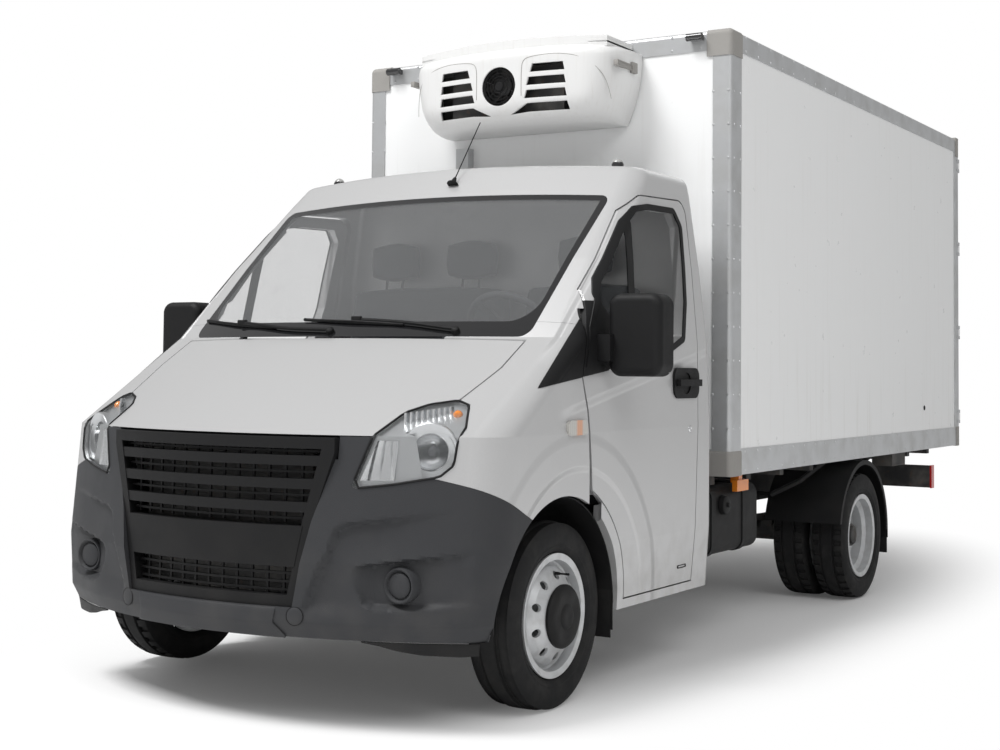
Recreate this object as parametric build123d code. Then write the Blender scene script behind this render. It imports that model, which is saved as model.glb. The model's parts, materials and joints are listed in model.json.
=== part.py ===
"""A light refrigerated truck: semi-bonneted cab, ladder frame, insulated box with a cooling unit.

Every piece is drawn with the front axle's centre line at y = 0, the floor at z = 0 and the
truck facing -Y, in millimetres. save() then moves it so that the origin lies on the floor
midway between the nose and the tail.
"""
import os
from math import cos, radians, sin, sqrt, tan

from build123d import *

# ---- Driving dimensions ----------------------------------------------------------------
WHEELBASE = 3300
FRONT_OVERHANG = 832
REAR_OVERHANG = 1918
ORIGIN_Y = (WHEELBASE + REAR_OVERHANG - FRONT_OVERHANG) / 2

RUNNING_GAP = 0.1      # round parts that turn in one another, on the radius
SEAT_GAP = 0.3         # pieces of one body that lie against each other
SHUT_GAP = 6           # round doors and lids
PANEL_GAP = 0.8         # between fixed body panels

# Wheels and tyres
TYRE_RADIUS = 335
TYRE_WIDTH = 185
RIM_RADIUS = 221
RIM_HALF_WIDTH = 82
DISC_THICKNESS = 8
DISC_OFFSET = 98       # rim centre to the disc's mounting face
PILOT_RADIUS = 69
FRONT_WHEEL_X = 855
REAR_FACE_X = 780      # where the two rear discs meet
KINGPIN_X = 760
AXLE_Z = TYRE_RADIUS

# Frame
RAIL_OUTER_X = 400
RAIL_WIDTH = 65
RAIL_SHEET = 7
RAIL_BOTTOM = 500
RAIL_TOP = 650
RAIL_FRONT_Y = -640

CROSS_MEMBERS = (-560, 1350, 2250, 3000, 3900, 4560)
SUBFRAME_COUNT = 9

# Axles and springs
KINGPIN_RADIUS = 16
KING_BOSS = 110
FRONT_STUB_RADIUS = 30
REAR_STUB_RADIUS = 40
FRONT_BEAM_Z = 300
SPRING_X = 410
SPRING_WIDTH = 65
REAR_SPRING_SEAT_Z = 392
HAND_HOLE_COUNT = 10
HAND_HOLE_CIRCLE = 286
HAND_HOLE_RADIUS = 15

LEAF_THICKNESS = 12
LEAF_STEP = 11

# Gear hung on the frame
TANK_X = (500, 905)
TANK_Y = (1330, 1965)
TANK_Z = (395, 700)
MUDGUARD_RADIUS = 405
MUDGUARD_X = (570, 985)
UNDERRUN_HALF = 940
UNDERRUN_Y = 4720
UNDERRUN_Z = (505, 640)

# Small outside pieces
MIRROR_X = (1016, 1234)
MIRROR_Y = 285
MIRROR_Z = (1190, 1497)
TRIM_RAISE = 5
LINER_FOOT_Z = 235
ROOF_LAMP_Z = 2052

# Driver's place
STEER_X = 440
STEER_Y = 520
STEER_Z = 1360
STEER_RADIUS = 195
SEAT_Y = 520
SEAT_Z = 1010

# Cab
CAB_REAR_Y = 1250
CAB_WALL = 45
SKIN = 12
FLOOR_Z = 700
SILL_Z = 310
BONNET_FRONT_Z = 985
COWL_Z = 1330
ROOF_EDGE_Z = 1955
ROOF_TOP_Z = 2078
GLASS = 6

# Box
BOX_FRONT_Y = 1453
BOX_REAR_Y = 5182
BOX_HALF_WIDTH = 990
BOX_BOTTOM = 754
BOX_TOP = 2736
BOX_WALL = 80
BOX_SKIN_INSET = 5     # panels lie this much inside the extrusions
RAIL_FACE_BOTTOM = 115
RAIL_FACE_TOP = 90
POST_FACE = 90
BOX_FLOOR = 90
FLOOR_DECK = 14        # the load floor stands this much above the panels' feet
DOOR_PIN_RADIUS = 9

BOX_CORNER = 20
POST_SIDE = 116
CASTING = 118
LEAF_THICK = 77
HINGE_SHARES = (0.08, 0.36, 0.64, 0.92)

# Cooling unit
FAN_Z = 2510
FAN_OPENING = 98
DUCT_X = (-437, -367)
UNIT_HALF_WIDTH = 575
UNIT_BOTTOM = 2285
UNIT_TOP = 2690
UNIT_FRONT_Y = 1085


# ---- Small helpers ---------------------------------------------------------------------
def block(x, y, z):
    """A box between a low and a high value on each axis."""
    size = [high - low for low, high in (x, y, z)]
    middle = [(low + high) / 2 for low, high in (x, y, z)]
    return Pos(*middle) * Box(*size)


def rod(axis, radius, centre, length, bore=0):
    """A cylinder along one axis about a centre, bored if a bore is given."""
    turn = {"X": Rot(0, 90, 0), "Y": Rot(90, 0, 0), "Z": Rot(0, 0, 0)}[axis]
    solid = Cylinder(radius, length)
    if bore:
        solid -= Cylinder(bore, length)
    return Pos(*centre) * turn * solid


def mirrored(shape):
    """The same shape on the other side of the truck."""
    return mirror(shape, about=Plane.YZ)


def group(*shapes):
    """Solids that lie apart from one another, kept in one piece."""
    return Compound(children=[solid for shape in shapes for solid in shape.solids()])


def both(shape):
    """A shape of the left side together with its mirror image."""
    return shape + mirrored(shape)


def side_prism(points, x, radius=0):
    """A side-view (y, z) polygon, with rounded corners, run between two x values."""
    face = make_face(Polyline(*[(0, y, z) for y, z in points], close=True))
    if radius:
        face = fillet(face.vertices(), radius)
    solid = extrude(face, amount=x[1] - x[0], dir=(1, 0, 0))
    return Pos(x[0], 0, 0) * solid


def front_prism(points, y, radius=0):
    """A front-view (x, z) polygon, with rounded corners, run between two y values."""
    face = make_face(Polyline(*[(px, 0, pz) for px, pz in points], close=True))
    if radius:
        face = fillet(face.vertices(), radius)
    solid = extrude(face, amount=y[1] - y[0], dir=(0, 1, 0))
    return Pos(0, y[0], 0) * solid


def plan_prism(points, z, radius=0):
    """A plan-view (x, y) polygon, with rounded corners, run between two heights."""
    face = make_face(Polyline(*[(px, py, 0) for px, py in points], close=True))
    if radius:
        face = fillet(face.vertices(), radius)
    return Pos(0, 0, z[0]) * extrude(face, amount=z[1] - z[0], dir=(0, 0, 1))


def turned(profile, centre_x, y, z, outward=1):
    """A profile of (u, r) points turned about a wheel's axis; u runs outwards along X."""
    points = [(outward * u, r) for u, r in profile]
    face = make_face(Polyline(*points, close=True))
    return Pos(centre_x, y, z) * revolve(face, Axis.X)


# ---- Cab body: plan outlines at a few heights, joined by straight lofts ----------------
NOSE_Y = -836
NOSE_RADIUS = 1670
# z, nose y, half width, nose radius, front corner radius
CAB_LEVELS = [
    (SILL_Z, -822, 984, NOSE_RADIUS, 190),
    (560, NOSE_Y, 1000, NOSE_RADIUS, 200),
    (BONNET_FRONT_Z, -790, 1000, NOSE_RADIUS, 190),
    (COWL_Z, -115, 986, 2900, 120),
    (1640, 212, 949, 3000, 115),
    (ROOF_EDGE_Z, 565, 902, 3100, 110),
    (ROOF_TOP_Z + 12, 720, 874, 3150, 105),
]
REAR_CORNER = 60


def plan_face(level, front_wall=0, side_wall=0):
    """The cab's outline seen from above at one level, set in by its walls."""
    z, nose_y, half_width, nose_radius, corner = level
    nose_y += front_wall
    half_width -= side_wall
    nose_radius -= front_wall
    side_y = nose_y + nose_radius - sqrt(nose_radius**2 - half_width**2)
    rear_y = CAB_REAR_Y - side_wall
    nose = ThreePointArc((-half_width, side_y, z), (0, nose_y, z), (half_width, side_y, z))
    rest = Polyline((half_width, side_y, z), (half_width, rear_y, z),
                    (-half_width, rear_y, z), (-half_width, side_y, z))
    face = make_face([nose, *rest.edges()])
    ends = face.vertices().sort_by(Axis.Y)
    face = fillet(ends[:2], corner - side_wall * 0.8)
    return fillet(face.vertices().sort_by(Axis.Y)[-2:], REAR_CORNER - side_wall * 0.8)


def cab_form(front_wall=0, side_wall=0, roof_wall=0):
    """The cab's closed form, or the same form set in by its walls."""
    faces = [plan_face(level, front_wall, side_wall) for level in CAB_LEVELS]
    form = None
    for low, high in zip(faces, faces[1:]):
        slab = loft([low, high], ruled=True)
        form = slab if form is None else form + slab
    crown_rise = 45
    half = CAB_LEVELS[0][2] + 50
    top = ROOF_TOP_Z - roof_wall
    arc = ThreePointArc((-half, 0, top - crown_rise), (0, 0, top), (half, 0, top - crown_rise))
    base = Polyline((half, 0, top - crown_rise), (half, 0, 0), (-half, 0, 0),
                    (-half, 0, top - crown_rise))
    section = make_face([arc, *base.edges()])
    prism = extrude(section, amount=CAB_REAR_Y + 1200, dir=(0, 1, 0))
    return form & (Pos(0, -1000, 0) * prism)


# ---- Cab: regions that split the form into its panels ----------------------------------
ARCH_Y = -45
ARCH_RADIUS = 430
FAR_X = 1100
DOOR_INNER_X = 600

# Side view (y, z)
DOOR_OUTLINE = [(1046, 350), (1140, 1932), (712, 1915), (580, 1843), (224, 1511), (146, 1371),
                (95, 1188), (130, 1065), (150, 880), (165, 700), (165, 350)]
DOOR_ARCH_RADIUS = 484
WINDOW_OUTLINE = [(825, 1305), (960, 1352), (1012, 1500), (1055, 1815), (1010, 1872),
                  (770, 1866), (655, 1848), (560, 1785), (300, 1545), (262, 1490), (262, 1235)]

# Front view (x, z), left side
LAMP_OUTLINE = [(555, 810), (612, 983), (640, 1064), (695, 1092), (774, 1106), (822, 1090),
                (876, 1009), (866, 892), (826, 852), (696, 827)]
GRILLE_TOP_X = 505
GRILLE_BOTTOM_X = 372
GRILLE_TOP_Z = 978
GRILLE_BOTTOM_Z = 412

# Plan view (x, y), left side
BONNET_SIDE = [(612, -675), (640, -524), (695, -453), (772, -398), (812, -187), (812, -24)]
BONNET_REAR_Y = -125

# Hinges: pins' places in plan (x, y) or in side view (y, z)
DOOR_PIN = (950, 185)
DOOR_HINGES = (765, 1110)
DOOR_HINGE_RADIUS = 7
DOOR_POCKET = 34
BONNET_PIN = (20, 1310)
BONNET_HINGE_RADIUS = 6
BONNET_ARM_X = ((642, 656), (674, 688))
# side view of the arm that dips under the scuttle's edge, up to the bonnet's underside
BONNET_ARM = [(32, 1310), (20, 1323), (7, 1314), (-12, 1290), (-24, 1254), (-45, 1252),
              (-66, 1280), (-95, 1285), (-98, 1262), (-52, 1236), (10, 1238), (30, 1290)]
# how far the door's front edge reaches from its pin, at a few heights (radius, z)
DOOR_REACH = [(64, SILL_Z + 30), (66, 700), (72, 880), (81, 1065), (108, 1188), (71, 1330),
              (59, 1371), (32, 1440)]


def door_prism(grow=0, inner_x=DOOR_INNER_X):
    """The left door's outline run through the side wall, grown outwards by a gap."""
    face = make_face(Polyline(*[(0, y, z) for y, z in DOOR_OUTLINE], close=True))
    face = fillet(face.vertices().filter_by(lambda v: v.Z > 1850), 60)
    if grow:
        face = offset(face, amount=grow, kind=Kind.INTERSECTION)
    prism = Pos(inner_x, 0, 0) * extrude(face, amount=FAR_X - inner_x, dir=(1, 0, 0))
    arch = rod("X", DOOR_ARCH_RADIUS - grow, (FAR_X / 2, ARCH_Y, AXLE_Z), FAR_X + 100)
    below = block((inner_x - 1, FAR_X + 1), (-900, ARCH_Y + 300), (0, AXLE_Z - 1))
    return prism - arch - below


def door_sweep():
    """The room that the left door's front edge needs as it swings about its pin."""
    points = [(0, DOOR_REACH[0][1]), *DOOR_REACH, (0, DOOR_REACH[-1][1])]
    face = make_face(Polyline(*[(r, 0, z) for r, z in points], close=True))
    return Pos(*DOOR_PIN, 0) * revolve(face, Axis.Z)


def window_prism(grow=0):
    """The left door's window opening, grown outwards if asked."""
    face = make_face(Polyline(*[(0, y, z) for y, z in WINDOW_OUTLINE], close=True))
    face = fillet(face.vertices(), 18)
    if grow:
        face = offset(face, amount=grow)
    return Pos(DOOR_INNER_X, 0, 0) * extrude(face, amount=FAR_X - DOOR_INNER_X, dir=(1, 0, 0))


def windscreen_prism(grow=0):
    """The windscreen's front-view outline, run back through the raked front only."""
    low = 1332 - grow
    top = 1912 + grow
    top_x = 822 + grow
    low_x = 812 + grow
    arc = ThreePointArc((-top_x, 0, top), (0, 0, top + 22), (top_x, 0, top))
    rest = Polyline((top_x, 0, top), (low_x, 0, low), (-low_x, 0, low), (-top_x, 0, top))
    face = make_face([arc, *rest.edges()])
    face = fillet(face.vertices(), 40)
    return Pos(0, -400, 0) * extrude(face, amount=1150, dir=(0, 1, 0))


def bonnet_prism(grow=0):
    """The bonnet's plan outline, run up from the nose's top edge."""
    right = [(x + grow, y) for x, y in BONNET_SIDE]
    right[-1] = (right[-1][0], right[-1][1] + 2 * grow)
    left = [(-x, y) for x, y in reversed(right)]
    front = Polyline(left[-1], (-600 - grow, -900), (600 + grow, -900), *right)
    rear = ThreePointArc(right[-1], (0, BONNET_REAR_Y + grow), left[0])
    face = make_face([*front.edges(), rear, *Polyline(*left).edges()])
    low = BONNET_FRONT_Z + 1 - grow
    return Pos(0, 0, low) * extrude(face, amount=1500 - low, dir=(0, 0, 1))


def lamp_prism(grow=0):
    """The left headlamp's front-view outline, run back round the corner of the nose."""
    face = make_face(Polyline(*[(x, 0, z) for x, z in LAMP_OUTLINE], close=True))
    face = fillet(face.vertices(), 12)
    if grow:
        face = offset(face, amount=grow)
    return Pos(0, -900, 0) * extrude(face, amount=750, dir=(0, 1, 0))


def grille_prism(grow=0):
    """The grille's front-view outline: wide at the bonnet, drawn in towards its foot."""
    right = [(GRILLE_TOP_X + grow, BONNET_FRONT_Z + 20), (GRILLE_TOP_X + grow, GRILLE_TOP_Z - 50),
             (GRILLE_BOTTOM_X + 60 + grow, 700), (GRILLE_BOTTOM_X + grow, GRILLE_BOTTOM_Z - grow)]
    left = [(-x, z) for x, z in reversed(right)]
    face = make_face(Polyline(*[(x, 0, z) for x, z in right + left], close=True))
    return Pos(0, -900, 0) * extrude(face, amount=330, dir=(0, 1, 0))


def arch_cut(radius=ARCH_RADIUS):
    """The front wheel openings of both sides."""
    left = rod("X", radius, (800, ARCH_Y, AXLE_Z), 620)
    left += block((490, 1110), (ARCH_Y - radius, ARCH_Y + radius - 30), (0, AXLE_Z))
    return both(left)


# ---- Cab ------------------------------------------------------------------------------
def make_cab(parts):
    """Outer panels of the cab, its glass, lamps, bumper and grille."""
    outer = cab_form()
    edges = outer.edges().filter_by(lambda e: e.bounding_box().min.Z > ROOF_EDGE_Z + 35)
    outer = fillet(edges, 60)
    shell = outer - cab_form(60, CAB_WALL, 35)
    skin = outer - cab_form(20, SKIN, SKIN)
    glass_back = cab_form(9, GLASS, GLASS)
    glass_skin = outer - glass_back
    wide = (-FAR_X, FAR_X)

    # Pillars, roof, back and sills: the thick shell behind the wings and above the scuttle
    behind = side_prism([(135, SILL_Z - 5), (135, 1376), (20, 1398), (-119, 1348), (-119, 1320),
                         (-400, 1320), (-400, 2200), (1400, 2200), (1400, SILL_Z - 5)], wide)
    scuttle = side_prism([(-400, 1475), (-400, 1200), (0, 1335), (-100, 1475)], wide)
    door_hole = door_prism(SHUT_GAP)
    door_hole = both(door_hole)
    body = (shell & behind) - door_hole - windscreen_prism(PANEL_GAP) - scuttle
    body -= bonnet_prism(SHUT_GAP)
    sweep = door_sweep()
    body = body - arch_cut() - both(sweep)
    body -= block((-840, 840), (CAB_REAR_Y - 90, CAB_REAR_Y + 1), (0, FLOOR_Z - 35))
    parts["cab_body"] = body.solids().sort_by(SortBy.VOLUME)[-1]

    # Doors: a thin skin to the full outline, a thick inner frame inside it
    frame_wall = shell & door_prism(-22)
    door_skin = skin & door_prism()
    window = window_prism()
    door = frame_wall.fuse(door_skin) - window
    for z in DOOR_HINGES:
        door -= rod("Z", DOOR_POCKET, (*DOOR_PIN, z), 76) & block((0, 987), (0, 400), (0, 2000))
        door += rod("Z", 13, (*DOOR_PIN, z), 22)
        door += block((DOOR_PIN[0], 990), (DOOR_PIN[1] + 4, DOOR_PIN[1] + 26), (z - 11, z + 11))
        door -= rod("Z", DOOR_HINGE_RADIUS + RUNNING_GAP, (*DOOR_PIN, z), 90)
    parts["left_door"] = door
    parts["right_door"] = mirrored(door)
    glass = (outer & window_prism(-SEAT_GAP)) - glass_back
    parts["left_door_glass"] = glass
    parts["right_door_glass"] = mirrored(glass)

    parts["windscreen"] = glass_skin & windscreen_prism()
    bonnet = (shell & bonnet_prism()).solids().sort_by(SortBy.VOLUME)[-1]
    bonnet -= both(lamp_prism(PANEL_GAP))
    for x in BONNET_ARM_X:
        arm = (side_prism(BONNET_ARM, x, 3) - rod("X", BONNET_HINGE_RADIUS + RUNNING_GAP,
                                                  (665, *BONNET_PIN), 90))
        bonnet += both(arm)
    parts["bonnet"] = bonnet

    # Nose: everything below the bonnet edge and ahead of the wheel openings
    lamp_hole = both(lamp_prism(PANEL_GAP))
    arch = arch_cut()
    bumper_zone = side_prism([(-1000, 1036), (-1000, 200), (-270, 200), (-270, 697)], wide)
    low_nose = block(wide, (-1000, 0), (200, BONNET_FRONT_Z - 2))
    bumper = (shell & bumper_zone & low_nose) - lamp_hole - grille_prism(PANEL_GAP) - arch
    parts["front_bumper"] = bumper

    wing_zone = side_prism([(-1000, 1036 + PANEL_GAP), (-270 + PANEL_GAP, 697 + PANEL_GAP),
                            (-270 + PANEL_GAP, SILL_Z), (CAB_REAR_Y, SILL_Z - 10),
                            (CAB_REAR_Y, 1000), (135 - PANEL_GAP, 1000),
                            (135 - PANEL_GAP, 1376 - PANEL_GAP), (20, 1398 - PANEL_GAP),
                            (-119 - PANEL_GAP, 1348 - PANEL_GAP), (-1000, 1348)],
                           (500, FAR_X))
    sill_zone = block((0, FAR_X), (135 - PANEL_GAP, 1400), (SILL_Z - 10, 1376))
    wing = (skin & wing_zone) - sill_zone - door_prism(SHUT_GAP) - bonnet_prism(SHUT_GAP)
    wing = wing - lamp_prism(PANEL_GAP) - arch - windscreen_prism(PANEL_GAP) - sweep
    wing = wing.solids().sort_by(SortBy.VOLUME)[-1]
    parts["wings"] = both(wing)

    # Headlamps: a clear cover, and a housing behind it with a round bowl
    cover = glass_skin & lamp_prism()
    parts["headlamp_covers"] = both(cover)
    housing_form = cab_form(22, 14, 14) & lamp_prism()
    housing = housing_form - cab_form(130, 60, 60)
    bowl = Pos(770, -530, 925) * Rot(90, 0, 20) * Cone(60, 105, 130)
    parts["headlamp_bodies"] = both(housing - bowl)


def make_grille(parts):
    """Radiator grille: a frame, three thick slats, thin bars behind, plate panel and mesh."""
    def arc_slab(y_front, y_back, z_low, z_high, half_low, half_high):
        """A curved band across the nose between two heights, as deep as front to back."""
        ring = Cylinder(NOSE_RADIUS - y_front, z_high - z_low)
        ring -= Cylinder(NOSE_RADIUS - y_back, z_high - z_low)
        ring = Pos(0, NOSE_Y + NOSE_RADIUS, (z_low + z_high) / 2) * ring
        keep = front_prism([(-half_low, z_low - 1), (half_low, z_low - 1),
                            (half_high, z_high + 1), (-half_high, z_high + 1)], (-900, -500))
        return ring & keep

    def half_width(z):
        """Half the grille's clear width at one height."""
        if z > 700:
            return 432 + (z - 700) / 278 * 73 - 34
        return 372 + (z - 412) / 288 * 60 - 34

    right = [(GRILLE_TOP_X, GRILLE_TOP_Z), (GRILLE_TOP_X, GRILLE_TOP_Z - 50),
             (GRILLE_BOTTOM_X + 60, 700), (GRILLE_BOTTOM_X, GRILLE_BOTTOM_Z)]
    left = [(-x, z) for x, z in reversed(right)]
    ring = arc_slab(20, 75, GRILLE_BOTTOM_Z - 5, GRILLE_TOP_Z + 5, 600, 600)
    outline = front_prism(right + left, (-900, -500))
    inner = front_prism([(half_width(940), 940), (half_width(700), 700),
                         (half_width(450), 450), (-half_width(450), 450),
                         (-half_width(700), 700), (-half_width(940), 940)], (-900, -500))
    grille = (ring & outline) - inner

    for z in GRILLE_SLATS:
        grille += arc_slab(22, 60, z - 17, z + 17, half_width(z - 17) + 5, half_width(z + 17) + 5)
    grille += arc_slab(18, 70, 545, 682, half_width(545) + 5, half_width(682) + 5)
    for z in GRILLE_THIN_BARS:
        grille += arc_slab(50, 62, z - 4, z + 4, half_width(z) + 5, half_width(z) + 5)
    uprights = None
    step = 62
    for i in range(-6, 7):
        x = i * step
        for low, high in ((690, 945), (448, 548)):
            top = high if abs(x) < half_width(high) else high - 60
            bar = block((x - 4, x + 4), (-900, -500), (low, top))
            uprights = bar if uprights is None else uprights + bar
    band = arc_slab(53, 61, 440, 950, 520, 520)
    grille += band & uprights & outline
    parts["grille"] = grille


GRILLE_SLATS = (900, 822, 744)
GRILLE_THIN_BARS = (930, 861, 783, 705, 520, 492, 464)


# ---- Wheels ----------------------------------------------------------------------------
DISC_OUTER = DISC_OFFSET + DISC_THICKNESS
# tyre seat and well, then down the outside of the disc, its bore and back up its inside
RIM_PROFILE = [(-82, 221), (-74, 221), (-70, 204), (-35, 202), (-20, 178), (20, 178),
               (38, 202), (70, 204), (74, 221), (82, 221), (82, 214), (79, 197),
               (44, 194), (38, 186), (58, 173), (80, 151), (DISC_OFFSET, 122),
               (DISC_OUTER, 108), (DISC_OUTER, PILOT_RADIUS), (DISC_OFFSET, PILOT_RADIUS),
               (DISC_OFFSET, 106), (DISC_OFFSET - 8, 118), (74, 141), (50, 163), (24, 171),
               (-26, 171), (-41, 194), (-79, 197), (-82, 214)]
TYRE_PROFILE_HALF = [(0, 335), (66, 334), (78, 329), (85, 318), (92, 292), (92.5, 272),
                     (90, 250), (84, 232), (72, 222.3), (68, 206), (30, 204.5), (0, 204.5)]


def make_rim():
    """One steel wheel about the X axis, its disc towards +X."""
    profile = turned(RIM_PROFILE, 0, 0, 0)
    holes = []
    for i in range(HAND_HOLE_COUNT):
        angle = radians(360 / HAND_HOLE_COUNT * (i + 0.5))
        at = (75, HAND_HOLE_CIRCLE / 2 * cos(angle), HAND_HOLE_CIRCLE / 2 * sin(angle))
        holes.append(rod("X", HAND_HOLE_RADIUS, at, 70))
    return profile - holes


def make_tyre():
    """One tyre about the X axis."""
    half = TYRE_PROFILE_HALF
    profile = half + [(-u, r) for u, r in reversed(half[1:-1])]
    return turned(profile, 0, 0, 0)


def make_wheels(parts):
    """Front wheels on their hubs, rear twin wheels on theirs."""
    rim = make_rim()
    rim_inwards = mirrored(rim)
    tyre = make_tyre()

    face = FRONT_WHEEL_X + DISC_OFFSET
    seat = DISC_THICKNESS + SEAT_GAP
    cap = [(seat, 0), (seat, 96), (16, 111), (20, 112), (27, 104), (31, 80), (31, 44), (36, 38),
           (38, 0)]
    hub = rod("X", 100, (face - 10 - SEAT_GAP, 0, AXLE_Z), 20)
    hub += rod("X", 62, (face - 60 - SEAT_GAP, 0, AXLE_Z), 120)
    hub += rod("X", 138, (face - 100, 0, AXLE_Z), 24)
    hub += rod("X", PILOT_RADIUS - 1, (face + 8, 0, AXLE_Z), 20)
    hub += turned(cap, face, 0, AXLE_Z)
    hub -= rod("X", FRONT_STUB_RADIUS + RUNNING_GAP, (face - 70, 0, AXLE_Z), 130)
    front = {
        "wheel": group(Pos(FRONT_WHEEL_X, 0, AXLE_Z) * rim, hub),
        "tyre": Pos(FRONT_WHEEL_X, 0, AXLE_Z) * tyre,
    }

    outer_x = REAR_FACE_X + DISC_OUTER
    inner_x = REAR_FACE_X - DISC_OUTER
    inner_face = REAR_FACE_X - DISC_THICKNESS
    hub = rod("X", 100, (inner_face - 36 - SEAT_GAP, WHEELBASE, AXLE_Z), 72)
    hub += rod("X", PILOT_RADIUS - 1, (inner_face + 35, WHEELBASE, AXLE_Z), 90)
    hub += rod("X", 155, (inner_face - 72, WHEELBASE, AXLE_Z), 48)
    hub += rod("X", 75, (inner_face - 100, WHEELBASE, AXLE_Z), 60)
    hub -= rod("X", REAR_STUB_RADIUS + RUNNING_GAP, (inner_face - 70, WHEELBASE, AXLE_Z), 130)
    # the two discs meet back to back outside the hub's flange
    outer_x += SEAT_GAP
    rear = {
        "wheels": group(Pos(outer_x, WHEELBASE, AXLE_Z) * rim_inwards,
                        Pos(inner_x, WHEELBASE, AXLE_Z) * rim, hub),
        "tyres": group(Pos(outer_x, WHEELBASE, AXLE_Z) * tyre,
                       Pos(inner_x, WHEELBASE, AXLE_Z) * tyre),
    }
    for place, pieces in (("front", front), ("rear", rear)):
        for name, solid in pieces.items():
            parts[f"{place}_left_{name}"] = solid
            parts[f"{place}_right_{name}"] = mirrored(solid)


# ---- Frame, axles, springs and what hangs on them --------------------------------------
def make_frame(parts):
    """Ladder frame: two channel rails and their cross members."""
    tail = UNDERRUN_Y - 25 - SEAT_GAP
    bearer_tail = BOX_REAR_Y - 150
    rail = block((RAIL_OUTER_X - RAIL_WIDTH, RAIL_OUTER_X), (RAIL_FRONT_Y, tail),
                 (RAIL_BOTTOM, RAIL_TOP))
    rail -= block((RAIL_OUTER_X - RAIL_WIDTH - 1, RAIL_OUTER_X - RAIL_SHEET),
                  (RAIL_FRONT_Y - 1, tail + 1), (RAIL_BOTTOM + RAIL_SHEET, RAIL_TOP - RAIL_SHEET))
    frame = both(rail)
    reach = RAIL_OUTER_X - RAIL_SHEET
    for y in CROSS_MEMBERS:
        frame += block((-reach, reach), (y - 30, y + 30), (RAIL_BOTTOM + 20, RAIL_TOP - 20))
    # what the box stands on: long bearers on the rails, cross bearers out to the sides
    bearer = block((RAIL_OUTER_X - RAIL_WIDTH, RAIL_OUTER_X), (BOX_FRONT_Y + 20, bearer_tail),
                   (RAIL_TOP, BOX_BOTTOM - 40))
    frame += both(bearer)
    bearer_reach = BOX_HALF_WIDTH - CASTING - 12
    for i in range(SUBFRAME_COUNT):
        y = BOX_FRONT_Y + 100 + i * (bearer_tail - BOX_FRONT_Y - 200) / (SUBFRAME_COUNT - 1)
        reach = bearer_reach if abs(y - WHEELBASE) > MUDGUARD_RADIUS + 40 else MUDGUARD_X[0] - 20
        frame += block((-reach, reach), (y - 25, y + 25), (BOX_BOTTOM - 50, BOX_BOTTOM))
    parts["chassis_frame"] = frame


def spring_pack(y, length, camber, seat_z):
    """Leaf spring over a seat at one height: three curved leaves, each shorter than the last."""
    pack = None
    eye_z = seat_z + camber + 2 * LEAF_STEP + LEAF_THICKNESS
    for i, share in enumerate((1.0, 0.78, 0.52)):
        half = length / 2 * share
        sag = camber * share**2
        top = eye_z - camber - i * LEAF_STEP
        bottom = top - LEAF_THICKNESS
        upper = ThreePointArc((0, y - half, top + sag), (0, y, top), (0, y + half, top + sag))
        lower = ThreePointArc((0, y + half, bottom + sag), (0, y, bottom),
                              (0, y - half, bottom + sag))
        face = make_face([upper, Line(upper @ 1, lower @ 0), lower, Line(lower @ 1, upper @ 0)])
        leaf = extrude(face, amount=SPRING_WIDTH, dir=(1, 0, 0))
        pack = leaf if pack is None else pack + leaf
    pack = Pos(SPRING_X, 0, 0) * pack
    for end in (-1, 1):
        eye_y = y + end * length / 2
        pack += rod("X", 24, (SPRING_X + SPRING_WIDTH / 2, eye_y, eye_z), SPRING_WIDTH)
        pack += block((RAIL_OUTER_X + SEAT_GAP, SPRING_X + SPRING_WIDTH),
                      (eye_y - 22, eye_y + 22), (eye_z, RAIL_BOTTOM + 60))
    return pack


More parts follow.
